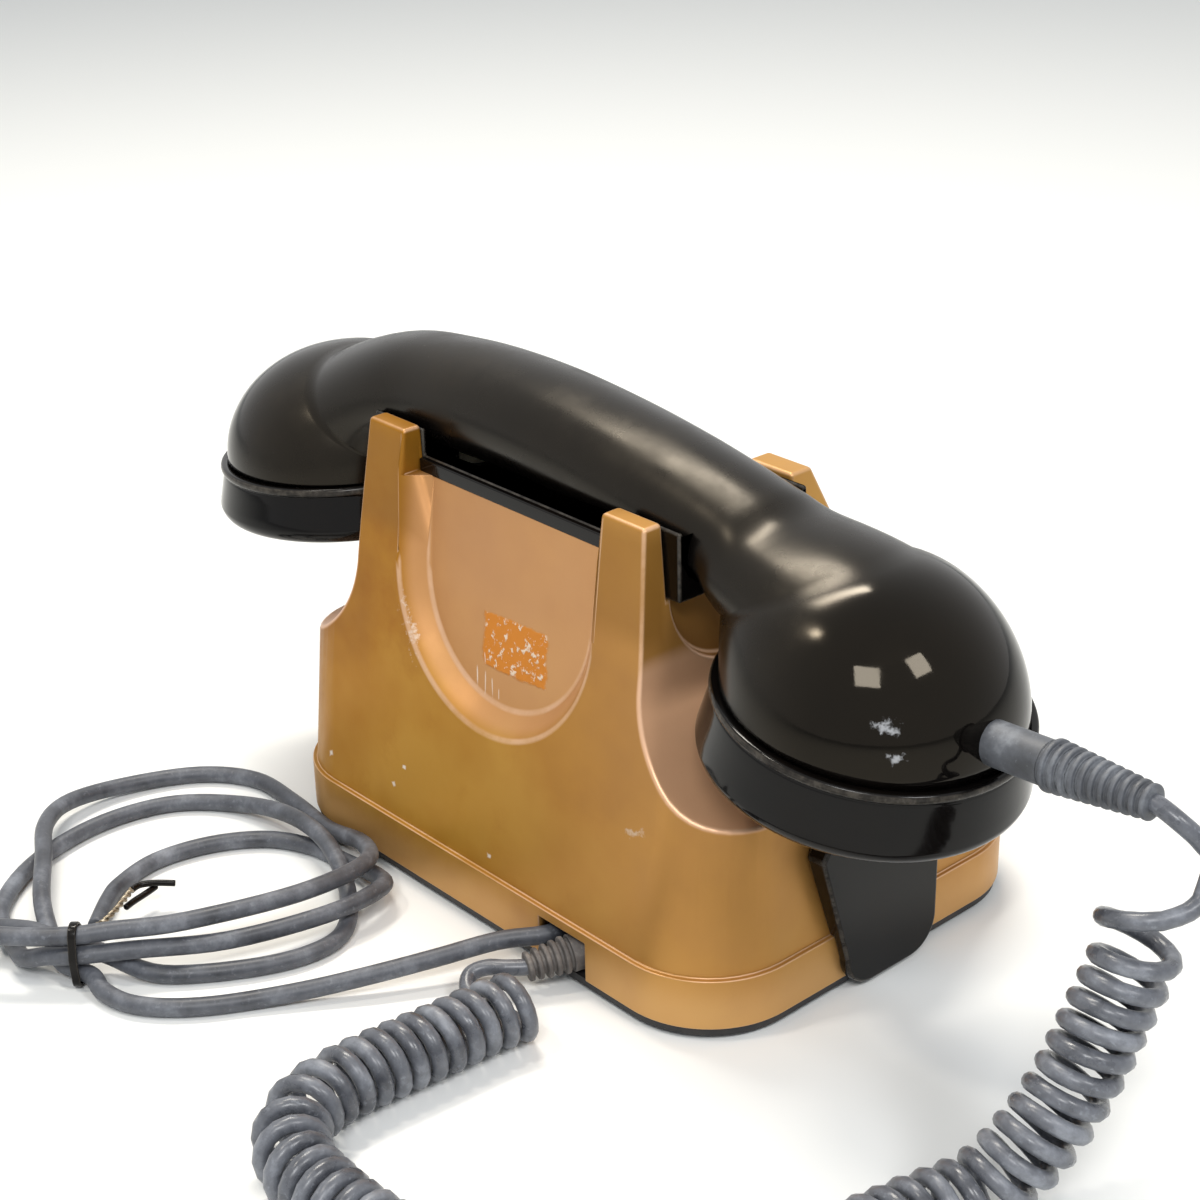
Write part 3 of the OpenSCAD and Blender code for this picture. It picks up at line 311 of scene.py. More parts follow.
copper = finish("satin_copper", 0.4, metallic=0.4, specular=0.22)
tree = copper.node_tree
shader = tree.nodes["Principled BSDF"]
broad = grain(tree, 16, 4, 0.6)
blotch = grain(tree, 55, 6, 0.65)
dust = grain(tree, 700, 4, 0.6)
colour = ramp(tree, broad, (0.32, paint(142, 91, 16)), (0.48, paint(161, 109, 22)), (0.66, paint(176, 129, 44)))
colour = stain_and_light(tree, colour, between(tree, blotch, 0.52, 0.78), 0.4, paint(140, 82, 20))
place = put(tree, "ShaderNodeTexCoord").outputs["Object"]
axes = put(tree, "ShaderNodeSeparateXYZ", {0: place})
height = axes.outputs[2]
side = put(tree, "ShaderNodeMath", {0: axes.outputs[0]}, operation="ABSOLUTE").outputs[0]
arc = put(tree, "ShaderNodeVectorMath", {
    0: put(tree, "ShaderNodeCombineXYZ", {0: side, 2: height}).outputs[0], 1: (0.0715, 0, 0.072)},
    operation="DISTANCE").outputs["Value"]
# Painted highlight: the shell is painted lighter towards the mouthpiece end (-x), where more light falls.
colour = stain_and_light(tree, colour, between(tree, axes.outputs[0], -0.07, 0.02, 1, 0), 0.4, paint(206, 160, 104))
# Painted highlight: the scoop faces on both sides are painted pale pink, as if lit from above.
colour = stain_and_light(tree, colour, between(tree, arc, 0.0252, 0.0262, 1, 0), 0.8, paint(226, 178, 142))
# Painted highlight: the finger hollow is painted lighter, in place of the light that falls into it.
below = times(tree, times(tree, height, 0.077, "SUBTRACT"), 0, "MINIMUM")
hollow_highlight = put(tree, "ShaderNodeVectorMath", {
    0: put(tree, "ShaderNodeCombineXYZ", {0: side, 2: below}).outputs[0]}, operation="LENGTH").outputs["Value"]
hollow_highlight = times(tree, between(tree, hollow_highlight, 0.029, 0.032, 1, 0), between(tree, axes.outputs[1], 0.02, 0.03))
colour = stain_and_light(tree, colour, hollow_highlight, 0.5, paint(206, 158, 118))
# Painted shade: the rear faces of both prongs are painted a darker brown.
for middle in ((38, 41, 92), (-38, 41, 92)):
    colour = stain_and_light(tree, colour, mark(tree, middle, (9, 5, 11), 0, 0.3), 0.5, paint(130, 88, 30))
# Painted highlight: the low band of the skirt is painted lighter.
colour = stain_and_light(tree, colour, between(tree, height, 0.006, 0.0165, 1, 0), 0.5, paint(210, 166, 112))
worn = put(tree, "ShaderNodeAttribute", attribute_name="worn").outputs["Fac"]
rub = times(tree, worn, between(tree, blotch, 0.3, 0.62, 0.35, 1.0))
colour = stain_and_light(tree, colour, rub, 0.6, paint(222, 184, 154))
glue = mark(tree, (-3.3, 40.1, 63.9), (10.8, 4, 6.5), 3, 0.05, 0.12, 260)
crumbs = times(tree, glue, between(tree, grain(tree, 520, 4, 0.65), 0.54, 0.62))
colour = stain_and_light(tree, colour, glue, 0.9, paint(208, 132, 46))
colour = stain_and_light(tree, colour, crumbs, 0.85, paint(230, 218, 200))
bare = paint(226, 216, 204)
for middle, half, slant, ragged, strength in (
        ((27.4, 42, 61), (2.2, 5, 10), 31, 1.3, 0.5), ((8.4, 42.4, 54.6), (0.25, 4, 2.6), 6, 0.5, 0.7),
        ((5.6, 42.4, 53.6), (0.22, 4, 3.2), 4, 0.5, 0.65), ((3.2, 42.5, 53), (0.2, 4, 2.2), 8, 0.5, 0.6),
        ((1.0, 42.6, 52.4), (0.2, 4, 1.6), 5, 0.5, 0.6), ((6.2, 41.5, 59), (0.2, 4, 1.2), 12, 0.5, 0.6),
        ((53.4, 50.6, 20.6), (1.1, 3, 0.9), 20, 0.7, 0.9), ((25.9, 49.7, 27.6), (0.8, 3, 0.6), 0, 0.7, 0.9),
        ((29.2, 50.4, 22.1), (0.7, 3, 0.8), 30, 0.7, 0.85), ((-4.9, 50.8, 18.4), (0.9, 3, 0.7), 0, 0.7, 0.9),
        ((-48.9, 47.9, 41.9), (3.2, 3, 1.3), 24, 1.2, 0.4), ((-68, 20, 17), (2.4, 3, 1.6), 0, 1.2, 0.7)):
    colour = stain_and_light(tree, colour, mark(tree, middle, half, slant, 0.3, ragged), strength, bare)
tree.links.new(colour, shader.inputs["Base Color"])
bare_share = times(tree, glue, 0.4)
tree.links.new(times(tree, between(tree, blotch, 0.3, 0.75, 0.34, 0.5), bare_share, "ADD"),
               shader.inputs["Roughness"])
raised = bump(tree, times(tree, glue, times(tree, crumbs, 1, "ADD")), 0.0002, 0.7)
tree.links.new(bump(tree, dust, 0.00006, 0.35, raised), shader.inputs["Normal"])
shell_work = bmesh.new()
shell_work.from_mesh(nodes["body_shell"].data)
bmesh.ops.remove_doubles(shell_work, verts=shell_work.verts, dist=2e-6)
bmesh.ops.dissolve_limit(shell_work, angle_limit=math.radians(0.05), use_dissolve_boundaries=False,
                         verts=shell_work.verts, edges=shell_work.edges, delimit=set())
casting = BVHTree.FromBMesh(shell_work)


def seen_edge(edge):
    middle = (edge.verts[0].co + edge.verts[1].co) / 2
    away = sum((f.normal for f in edge.link_faces), Vector()).normalized()
    return casting.ray_cast(middle + 0.2 * MM * away, away)[0] is None


def thin_edge(edge):
    middle = (edge.verts[0].co + edge.verts[1].co) / 2 / MM
    return middle.z < 18 or (84 < middle.z < 97 and abs(middle.x) < 34 and 17.5 < abs(middle.y - 17.3) < 26)


worn = shell_work.verts.layers.float.new("worn")
strips = set()
for width, thin in ((0.9 * MM, False), (0.3 * MM, True)):
    edges = [e for e in shell_work.edges if len(e.link_faces) == 2 and e.calc_face_angle() > math.radians(28)
             and thin_edge(e) == thin and seen_edge(e) and not any(f in strips for f in e.link_faces)]
    done = bmesh.ops.bevel(shell_work, geom=edges, offset=width, offset_type="OFFSET", segments=3, profile=0.5,
                           affect="EDGES", clamp_overlap=False, material=-1)
    strips = {f for f in strips.union(done["faces"]) if f.is_valid}
for vertex in {v for f in strips for v in f.verts}:
    if all(f in strips for f in vertex.link_faces):
        vertex[worn] = 1
shell = even(piece("shell", shell_work))
fit(shell, "base", copper, ["body_shell"])


# Side cover. A glossy black moulded tongue hooked over the shell's skirt below the mouthpiece, with rounded
# corners and a polished face.
def bakelite(name, roughness, scuff=0.4, tone=1.0):
    made = finish(name, roughness, specular=0.18)
    tree = made.node_tree
    shader = tree.nodes["Principled BSDF"]
    cloud = grain(tree, 26, 6, 0.66)
    fine = grain(tree, 380, 5, 0.7)
    base = ramp(tree, cloud, (0.35, paint(7 * tone, 6 * tone, 6 * tone)), (0.6, paint(13 * tone, 10 * tone, 8 * tone)),
                (0.78, paint(30 * tone, 23 * tone, 17 * tone)))
    worn = put(tree, "ShaderNodeAttribute", attribute_name="worn").outputs["Fac"]
    rubbed = times(tree, worn, between(tree, fine, 0.35, 0.65, 0.2, 1.0))
    base = mixed(tree, times(tree, rubbed, 0.5), base, paint(92, 86, 78))
    specks = times(tree, between(tree, fine, 0.68, 0.74), between(tree, cloud, 0.5, 0.64, 0, scuff))
    base = mixed(tree, specks, base, paint(150, 146, 140))
    tree.links.new(base, shader.inputs["Base Color"])
    dull = times(tree, between(tree, cloud, 0.42, 0.68, 0, 0.16), times(tree, rubbed, 0.2), "ADD")
    tree.links.new(times(tree, dull, roughness, "ADD"), shader.inputs["Roughness"])
    tree.links.new(bump(tree, fine, 0.00003, 0.25), shader.inputs["Normal"])
    return made


gloss_black = bakelite("gloss_black", 0.09, 0.2)
satin_black = bakelite("satin_black", 0.2, 0.5, 1.15)
cover = even(rounded("side_tongue", "side_cover", 0.9 * MM))
fit(cover, "base", gloss_black, ["side_cover"])


# Cradle. A black moulding drops into the channel between the prongs and carries a smooth trough for the grip.
# Two round ivory plungers come up through it and are pushed down by the handset.
cradle = even(rounded("cradle_moulding", "cradle_saddle", 0.7 * MM))
fit(cradle, "base", gloss_black, ["cradle_saddle"])
lip_work = bmesh.new()
bmesh.ops.create_cube(lip_work, size=1, matrix=Matrix.LocRotScale(
    Vector((0, 35.85, 95.3)) * MM, None, Vector((62.6, 1.5, 3.2)) * MM))
bmesh.ops.bevel(lip_work, geom=lip_work.edges[:], offset=0.35 * MM, offset_type="OFFSET", segments=3, profile=0.5,
                affect="EDGES", clamp_overlap=True, material=-1)
fit(even(piece("cradle_lip", lip_work)), "base", gloss_black)
ivory = mottled("ivory_plastic", paint(206, 194, 160), paint(228, 218, 190), paint(238, 230, 208), 0.3, 60, 1200,
                0.00002)
buttons = even(rounded("plunger_buttons", "cradle_plungers", 0.5 * MM))
fit(buttons, "plungers", ivory, ["cradle_plungers"])


# Dial. A black moulded ring seats the dial in the sloping front. Behind a thin pressed finger wheel with ten holes
# lies an ivory plate with the digits, and a bent nickel stop reaches in over the wheel's edge.
face_at = Vector((0, -0.03164, 0.054))
face_turn = Quaternion((1, 0, 0), math.radians(63.49))
on_dial = Matrix.LocRotScale(face_at, face_turn, None)


def lathe(profile, steps=96, closed=True):
    work = bmesh.new()
    corners = [work.verts.new((r * MM, 0, z * MM)) for r, z in profile]
    edges = [work.edges.new(pair) for pair in zip(corners, corners[1:])]
    if closed:
        edges.append(work.edges.new((corners[-1], corners[0])))
    bmesh.ops.spin(work, geom=corners + edges, cent=(0, 0, 0), axis=(0, 0, 1), angle=math.tau, steps=steps,
                   use_merge=True)
    bmesh.ops.remove_doubles(work, verts=work.verts, dist=1e-7)
    bmesh.ops.dissolve_degenerate(work, edges=work.edges, dist=1e-7)
    bmesh.ops.recalc_face_normals(work, faces=work.faces)
    return work


def soften(work, width, sharp=28, segments=2):
    edges = [e for e in work.edges if len(e.link_faces) == 2 and e.calc_face_angle() > math.radians(sharp)]
    done = bmesh.ops.bevel(work, geom=edges, offset=width * MM, offset_type="OFFSET", segments=segments,
                           profile=0.5, affect="EDGES", clamp_overlap=True, material=-1)
    strips = set(done["faces"])
    worn = work.verts.layers.float.new("worn")
    for face in strips:
        for vertex in face.verts:
            if all(f in strips for f in vertex.link_faces):
                vertex[worn] = 1


def punched(radii, holes, low, high):
    work = bmesh.new()
    for radius in radii:
        bmesh.ops.create_circle(work, segments=96, radius=radius * MM)
    for x, y, radius in holes:
        bmesh.ops.create_circle(work, segments=40, radius=radius * MM, matrix=Matrix.Translation((x * MM, y * MM, 0)))
    bmesh.ops.triangle_fill(work, use_beauty=True, use_dissolve=False, edges=work.edges)
    bmesh.ops.dissolve_limit(work, angle_limit=0.01, use_dissolve_boundaries=False, verts=work.verts,
                             edges=work.edges, delimit=set())
    bmesh.ops.translate(work, vec=(0, 0, low * MM), verts=work.verts)
    grown = bmesh.ops.extrude_face_region(work, geom=work.faces[:] + work.edges[:] + work.verts[:])
    bmesh.ops.translate(work, vec=(0, 0, (high - low) * MM),
                        verts=[g for g in grown["geom"] if isinstance(g, bmesh.types.BMVert)])
    bmesh.ops.recalc_face_normals(work, faces=work.faces)
    return work


mount = even(rounded("dial_ring", "dial_mount", 0.35 * MM, 30, 2))
fit(mount, "base", gloss_black, ["dial_mount"])
wear("number_plate", ivory)
hole_at = [(26.4 * math.cos(math.radians(58 + 30 * k)), 26.4 * math.sin(math.radians(58 + 30 * k)))
           for k in range(10)]
wheel_work = punched([34, 1.0], [(x, y, 5.8) for x, y in hole_at], 1.2, 3.0)
soften(wheel_work, 0.45, 40, 3)
bmesh.ops.transform(wheel_work, matrix=on_dial, verts=wheel_work.verts)
wheel = even(piece("finger_wheel", wheel_work))
fit(wheel, "dial_wheel", gloss_black, ["finger_wheel_hub", "finger_wheel_webs", "finger_wheel_rim"])
boss = even(rounded("centre_boss", "dial_centre_cap", 0.25 * MM, 30, 2))
fit(boss, "dial_wheel", nickel, ["dial_centre_cap"])
stop = even(rounded("stop_hook", "finger_stop", 0.3 * MM, 30, 3))
fit(stop, "base", nickel, ["finger_stop"])

ink = mottled("digit_ink", paint(18, 18, 20), paint(24, 24, 26), paint(52, 50, 48), 0.45, 300, 2500, 0.00001)
digit_work = bmesh.new()
for (x, y), digit in zip(hole_at, "1234567890"):
    text = bpy.data.curves.new("digit", "FONT")
    text.body = digit
    text.size = 7.4 * MM
    text.align_x = "CENTER"
    text.align_y = "CENTER"
    text.extrude = 0.02 * MM
    text.resolution_u = 6
    holder = bpy.data.objects.new("digit", text)
    scene.collection.objects.link(holder)
    bpy.context.view_layer.update()
    flat = bpy.data.meshes.new_from_object(holder.evaluated_get(bpy.context.evaluated_depsgraph_get()))
    middle = [(min(v.co[i] for v in flat.vertices) + max(v.co[i] for v in flat.vertices)) / 2 for i in (0, 1)]
    flat.transform(Matrix.Translation((x * MM - middle[0], y * MM - middle[1], -0.87 * MM)))
    digit_work.from_mesh(flat)
    bpy.data.objects.remove(holder)
    bpy.data.meshes.remove(flat)
bmesh.ops.transform(digit_work, matrix=on_dial, verts=digit_work.verts)
digits = piece("printed_digits", digit_work, False)
fit(digits, "base", ink)


# Cord entries. Two ribbed rubber sleeves keep the curly cord from kinking: a dusty short one in the opening at
# the back of the shell, and a longer grey one that is pushed into the mouthpiece end of the handset.
relief_grey = mottled("relief_rubber", paint(62, 64, 68), paint(84, 87, 93), paint(128, 132, 138), 0.5, 150, 1300,
                      0.00006)
relief_dusty = mottled("dusty_rubber", paint(66, 62, 60), paint(92, 88, 86), paint(138, 132, 126), 0.7, 190, 1500,
                       0.00008)
sleeve = even(rounded("handset_sleeve", "handset_strain_relief", 0.22 * MM, 40, 2, 0.1))
fit(sleeve, "handset", relief_grey, ["handset_strain_relief"])
entry = even(rounded("base_sleeve", "base_strain_relief", 0.2 * MM, 40, 2, 0.1))
fit(entry, "base", relief_dusty, ["base_strain_relief"])


# Curly handset cord. Four thin wires in a soft grey sheath, wound on a rod and set, so that it springs back into
# 57 tight curls. It lies in a wide bend on the table, and the last curls hang from the mouthpiece.
def spline(points, steps):
    points = [Vector(p) for p in points]
    last = len(points) - 1
    line = []
    for i in range(last):
        a, b, c, d = points[max(i - 1, 0)], points[i], points[i + 1], points[min(i + 2, last)]
        for k in range(steps):
            t = k / steps
            line.append(0.5 * (2 * b + t * (c - a) + t * t * (2 * a - 5 * b + 4 * c - d)
                               + t ** 3 * (3 * b - a - 3 * c + d)))
    return line + [points[last]]


def square_to(side, ahead):
    return (side - side.dot(ahead) * ahead).normalized()


def headings(line):
    last = len(line) - 1
    return [(line[min(i + 1, last)] - line[max(i - 1, 0)]).normalized() for i in range(last + 1)]


def tube(name, line, radius, sides=12, round_ends=False):
    aheads = headings(line)
    side = square_to(Vector((0.3, 0.2, 1)), aheads[0])
    frames = []
    for point, ahead in zip(line, aheads):
        side = square_to(side, ahead)
        turn = Matrix((side, ahead.cross(side), ahead)).transposed().to_4x4()
        turn.translation = point
        frames.append(turn)
    work = bmesh.new()
    straight = work.verts.layers.float_vector.new("straight")
    rim = bmesh.ops.create_circle(work, segments=sides, radius=radius, matrix=frames[0])["verts"]
    for vertex in rim:
        vertex[straight] = frames[0].inverted() @ vertex.co
    edges = work.edges[:]
    run = 0
    for before, after, a, b in zip(frames, frames[1:], line, line[1:]):
        grown = bmesh.ops.extrude_edge_only(work, edges=edges)["geom"]
        rim = [g for g in grown if isinstance(g, bmesh.types.BMVert)]
        edges = [g for g in grown if isinstance(g, bmesh.types.BMEdge) and all(v in rim for v in g.verts)]
        bmesh.ops.transform(work, matrix=after @ before.inverted(), verts=rim)
        run += (b - a).length
        for vertex in rim:
            flat = vertex[straight]
            vertex[straight] = (flat[0], flat[1], run)
    caps = bmesh.ops.holes_fill(work, edges=[e for e in work.edges if e.is_boundary], sides=0)["faces"]
    if round_ends:
        bmesh.ops.bevel(work, geom=[e for f in caps for e in f.edges], offset=radius * 0.5, offset_type="OFFSET",
                        segments=3, profile=0.5, affect="EDGES", clamp_overlap=True, material=-1)
    bmesh.ops.recalc_face_normals(work, faces=work.faces)
    return piece(name, work)


def sheath(name, dark, mid, light, roughness):
    made = finish(name, roughness, specular=0.45)
    tree = made.node_tree
    shader = tree.nodes["Principled BSDF"]
    place = put(tree, "ShaderNodeAttribute", attribute_name="straight").outputs["Vector"]
    cloud = put(tree, "ShaderNodeTexNoise", {"Vector": place, "Scale": 90, "Detail": 6, "Roughness": 0.66}
                ).outputs["Fac"]
    fine = put(tree, "ShaderNodeTexNoise", {"Vector": place, "Scale": 900, "Detail": 4, "Roughness": 0.6}
               ).outputs["Fac"]
    colour = ramp(tree, cloud, (0.34, dark), (0.52, mid), (0.72, light))
    colour = mixed(tree, between(tree, fine, 0.58, 0.72, 0, 0.35), colour, light)
    tree.links.new(colour, shader.inputs["Base Color"])
    tree.links.new(between(tree, cloud, 0.35, 0.7, roughness - 0.05, roughness + 0.14), shader.inputs["Roughness"])
    tree.links.new(bump(tree, fine, 0.00004, 0.5), shader.inputs["Normal"])
    return made


grey_sheath = sheath("cord_sheath", paint(66, 68, 74), paint(100, 103, 110), paint(148, 152, 160), 0.3)

line_in_table = [(-40, 72, 7.8), (-38.5, 80, 7.8), (-37.8, 90, 7.8), (-36.8, 100, 7.8), (-36, 110, 7.8),
                 (-36.2, 118, 7.8), (-38.8, 125.8, 7.8), (-44, 131, 7.8), (-51, 134.2, 7.8), (-60, 135.2, 7.8),
                 (-70, 135.2, 7.8), (-85, 133, 7.9), (-102, 126, 8), (-116, 114, 8), (-126, 98, 8), (-133, 80, 8),
                 (-137, 64, 8.2), (-142, 51, 10.5), (-145.6, 42.5, 18.5), (-147.3, 36, 26), (-148.4, 32, 33),
                 (-149, 28, 40), (-149.6, 24, 47), (-149.8, 21, 54), (-149.6, 19, 60)]
spine = spline(line_in_table, 6)
spine_last = len(spine) - 1
spine_ahead = headings(spine)
spine_side = [square_to(Vector((1, 0, 0)), spine_ahead[0])]
spine_run = [0.0]
for i in range(1, spine_last + 1):
    spine_side.append(square_to(spine_side[-1], spine_ahead[i]))
    spine_run.append(spine_run[-1] + (spine[i] - spine[i - 1]).length)
spine_len = spine_run[-1]
curl_turns = 56.75


def loosened(s):
    return max(0.0, (s - spine_len + 12) / 12)


def curl_radius(s):
    return 5.85 + 0.5 * s / spine_len + 1.5 * loosened(s)


share = []
for i in range(spine_last + 1):
    a, b = max(i - 1, 0), min(i + 1, spine_last)
    bend = (spine_ahead[b] - spine_ahead[a]).length / (spine_run[b] - spine_run[a])
    share.append((1 - min(0.6, bend * curl_radius(spine_run[i]))) / (1 + 2.6 * loosened(spine_run[i])))
share_sum = [0.0]
for i in range(spine_last):
    share_sum.append(share_sum[-1] + (share[i] + share[i + 1]) / 2 * (spine_run[i + 1] - spine_run[i]))
curl_pitch = share_sum[-1] / curl_turns


def curl_at(turns):
    q = share_sum[-1] * turns / curl_turns
    i = next((n for n in range(spine_last - 1) if share_sum[n + 1] > q), spine_last - 1)
    f = (q - share_sum[i]) / (share_sum[i + 1] - share_sum[i])
    s = spine_run[i] + (spine_run[i + 1] - spine_run[i]) * f
    ahead = spine_ahead[i].lerp(spine_ahead[i + 1], f).normalized()
    side = square_to(spine_side[i].lerp(spine_side[i + 1], f), ahead)
    up = ahead.cross(side)
    a = math.radians(90) + math.tau * turns
    radius = curl_radius(s)
    rise = curl_pitch / (math.tau * radius) * (1 + 2.6 * loosened(s))
    return (spine[i].lerp(spine[i + 1], f) + radius * (math.cos(a) * side + math.sin(a) * up),
            (rise * ahead - math.sin(a) * side + math.cos(a) * up).normalized())


curl_steps = 16
curls = [curl_at(k / curl_steps) for k in range(int(curl_turns * curl_steps) + 1)]
curl_in = curls[0][0] - 3.5 * curls[0][1]
curl_out = curls[-1][0] + 3.5 * curls[-1][1]
lead_in = spline([(-29.3, 59.1, 6.4), (-28.6, 61, 6.2), (-25.6, 64.2, 6.1), (-22.4, 66.6, 5.7), (-20.9, 69.8, 4.7),
                  (-23.6, 72.6, 3.4), (-29, 72.4, 2.3), curl_in, curls[0][0]], 7)[:-7]
lead_out = spline([curls[-1][0], curl_out, (-157.3, 13, 68.4), (-155.8, 14.6, 72.6), (-152.4, 16.8, 76.2),
                   (-147.8, 17.3, 78), (-144, 17.3, 77.8)], 7)[7:]
curly_line = [p * MM for p in lead_in + [c[0] for c in curls] + lead_out]
join = len(lead_in) + len(curls)
for _ in range(3):
    for i in range(join - 1, join + 2):
        curly_line[i] = (curly_line[i - 1] + 2 * curly_line[i] + curly_line[i + 1]) / 4
curly = tube("curly_cord", curly_line, 1.75 * MM)
curly.data.materials.append(grey_sheath)
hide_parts("handset_cord_base", "handset_cord_coil", "handset_cord_top")
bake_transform(curly)


# Line cord. A smooth grey round cord comes out of the shell beside the curly one. It is wound into four loose
# turns, held by a thin black cable tie, and ends in bare twisted wires with two short black sleeves.
def hank_turn(middle, half, slant, shape, first, last, heights):
    points = []
    for i, height in enumerate(heights):
        a = math.radians(first + (last - first) * i / (len(heights) - 1))
        u = half[0] * math.cos(a)
        v = half[1] * math.sin(a) * (1 + shape[0] * math.cos(a) + shape[1] * math.cos(2 * a))
        c, s = math.cos(math.radians(slant)), math.sin(math.radians(slant))
        points.append((middle[0] + u * c - v * s, middle[1] + u * s + v * c, height))
    return points


line_out = [(-25.2, 43.2, 8.4), (-25.2, 48, 8.5), (-24.9, 52.4, 8.6), (-18.8, 60.5, 7.8), (-13.2, 72.5, 6.4),
            (-7, 84.5, 4.8), (-0.5, 95.5, 3.2), (6, 106, 2.2), (11.2, 114.6, 2.1), (17, 121.4, 2.1),
            (23.4, 125.8, 2.1), (30.5, 127.4, 2.3), (35.5, 126.6, 2.8)]
hank = [(39.4, 127.6, 3.1), (44.2, 128.8, 3.2), (50.4, 127.2, 3.3)]
hank += hank_turn((62.7, 85.6), (40.4, 42.3), -18, (-0.22, 0.22), 104, -190,
                  (6, 7.1, 6.6, 4.6, 2.6, 2.1, 2.1, 2.1, 2.6, 6.8, 10, 11.5, 11.9))
hank += [(35, 121.2, 12.4), (39, 127.7, 12.2), (45.4, 134.9, 12)]
hank += hank_turn((60, 140.6), (18.5, 7.2), 33, (0.1, 0.3), 104, -122, (12, 9.5, 5, 3.2, 6, 7.8))
hank += [(46.5, 128, 7.6), (41.8, 125.4, 7.6), (37.6, 121, 4.6)]
hank += hank_turn((50.7, 93.2), (40.3, 34.8), 19, (0.32, 0), 112, 421,
                  (2.4, 2.1, 2.1, 2.1, 4.6, 7.3, 5.5, 2.6, 2.1, 2.1, 2.1, 2.1, 2.4))
hank += [(50.5, 134.4, 4), (44.4, 132.7, 6.6), (38.4, 128.6, 7.8), (31.5, 118.5, 8)]
hank += hank_turn((42.8, 87.5), (24.3, 35.2), -21, (-0.29, 0.15), 174, 412,
                  (6.9, 7.2, 6.8, 3.9, 2.2, 2.1, 2.1, 2.1, 2.1, 2.1))
hank += [(60.5, 108.2, 2.2), (51.8, 116.3, 3.2)]
line_line = [p * MM for p in spline(line_out + hank, 6)]
line_cord = tube("line_cord_run", line_line, 2 * MM, 14, True)
line_sheath = sheath("line_sheath", paint(54, 56, 62), paint(82, 85, 92), paint(126, 130, 138), 0.46)
fit(line_cord, "base", line_sheath, ["line_cord", "line_cord_hank"])

tie = even(rounded("cord_tie", "line_cord_tie", 0.25 * MM, 40, 2, 0.1))
fit(tie, "base", gloss_black, ["line_cord_tie"])
core = [p * MM for p in spline([(51.4, 116.7, 3.4), (49.4, 118.4, 4.4), (47.6, 118.6, 6.2), (46.6, 117, 7.2),
                                (48.7, 112.9, 7.2), (51.4, 109, 7.1), (53.8, 105.6, 7)], 10)]
core_ahead = headings(core)
core_side = square_to(Vector((0, 0, 1)), core_ahead[0])
strands = ([], [])
for i, point in enumerate(core):
    core_side = square_to(core_side, core_ahead[i])
    up = core_ahead[i].cross(core_side)
    for k, strand in enumerate(strands):
        a = math.tau * (i / 9 + k / 2)
        strand.append(point + 0.38 * MM * (math.cos(a) * core_side + math.sin(a) * up))
tinned = mottled("tinned_wire", paint(96, 86, 72), paint(140, 128, 108), paint(188, 180, 164), 0.36, 900, 3000, 0.00002,
                 metallic=0.8)
for k, strand in enumerate(strands):
    wire = tube(f"bare_wire_{k + 1}", strand, 0.4 * MM, 8, True)
    fit(wire, "base", tinned, ["line_cord_wires"])
for k, points in enumerate(([(53.8, 105.6, 7), (54.4, 103.2, 6.9), (53.2, 100, 6.6), (50.8, 96.3, 6)],
                            [(51.4, 109, 4.9), (52.4, 106.2, 4.9), (53.2, 102.6, 5), (53.9, 99.4, 5.2)])):
    wire = tube(f"wire_sleeve_{k + 1}", [p * MM for p in spline(points, 6)], 0.75 * MM, 10, True)
    fit(wire, "base", satin_black, ["line_cord_wires"])


# Handset. A thick-walled black moulding, polished by use to a brown satin along the grip. Two round domes carry
# the capsules, and the grip rises between them in a low arch.
def dome_ring(sign, x, z, tilt, height, cheek, drawn, t):
    lean, swing = math.radians(tilt), math.radians(2 * t)
    outward = Vector((sign * math.cos(lean), -math.sin(lean)))
    upward = Vector((sign * math.sin(lean), math.cos(lean)))
    radius = 30 * (1 - drawn * math.sin(swing))
    inner = Vector((sign * x, z)) - 30 * outward + t / 49 * Vector((-sign * cheek[0], cheek[1]))
    outer = Vector((sign * x, z)) + radius * math.cos(swing) * outward + height * math.sin(swing) * upward
    across, middle, half = outer - inner, (outer + inner) / 2, (outer - inner).length / 2
    slant = math.degrees(math.atan2(across.y, across.x)) + (360 if sign < 0 and across.y < 0 else 0)
    return (middle.x, middle.y, slant, half, half, radius * math.cos(math.radians(t)) + cheek[2] * t / 49, 2.0)


def eased(rows, steps):
    last = len(rows) - 1
    line = []
    for i in range(last):
        a, b, c, d = rows[max(i - 1, 0)], rows[i], rows[i + 1], rows[min(i + 2, last)]
        for k in range(steps):
            t = k / steps
            line.append(tuple(0.5 * (2 * q + t * (r - p) + t * t * (2 * p - 5 * q + 4 * r - s)
                                     + t ** 3 * (3 * q - p - 3 * r + s)) for p, q, r, s in zip(a, b, c, d)))
    return line + [tuple(rows[last])]


mouth_rings = [dome_ring(-1, 83.6, 75, 10, 27.9, (2.8, 4.8, 1.5), 0.06, 2.45 * k) for k in range(21)]
ear_rings = [dome_ring(1, 83.2, 80, 4.5, 25.5, (0, 3, 0), 0, 2.45 * k) for k in range(21)]
arch = eased([mouth_rings[-1],
              (-56.3, 94.77, 126.7, 13.26, 9.2, 17.9, 2.05), (-50.21, 96.27, 110.4, 12.97, 5.2, 16.0, 2.05),
              (-41.97, 98.38, 104, 12.78, 6.0, 15.4, 2.03), (-28.0, 101.17, 97, 12.57, 8.7, 15.3, 2.02),
              (-10.03, 103.5, 92, 12.68, 10.1, 15.3, 2.02), (9.98, 104.66, 88, 13.17, 10.3, 15.3, 2.02),
              (27.96, 104.31, 83, 13.61, 10.5, 15.3, 2.02), (42.02, 103.04, 76, 13.82, 9.6, 15.4, 2.03),
              (53.5, 100.65, 65, 14.72, 8.2, 16.9, 2.1), ear_rings[-1]], 6)
stations = mouth_rings[:-1] + arch + ear_rings[-2::-1]


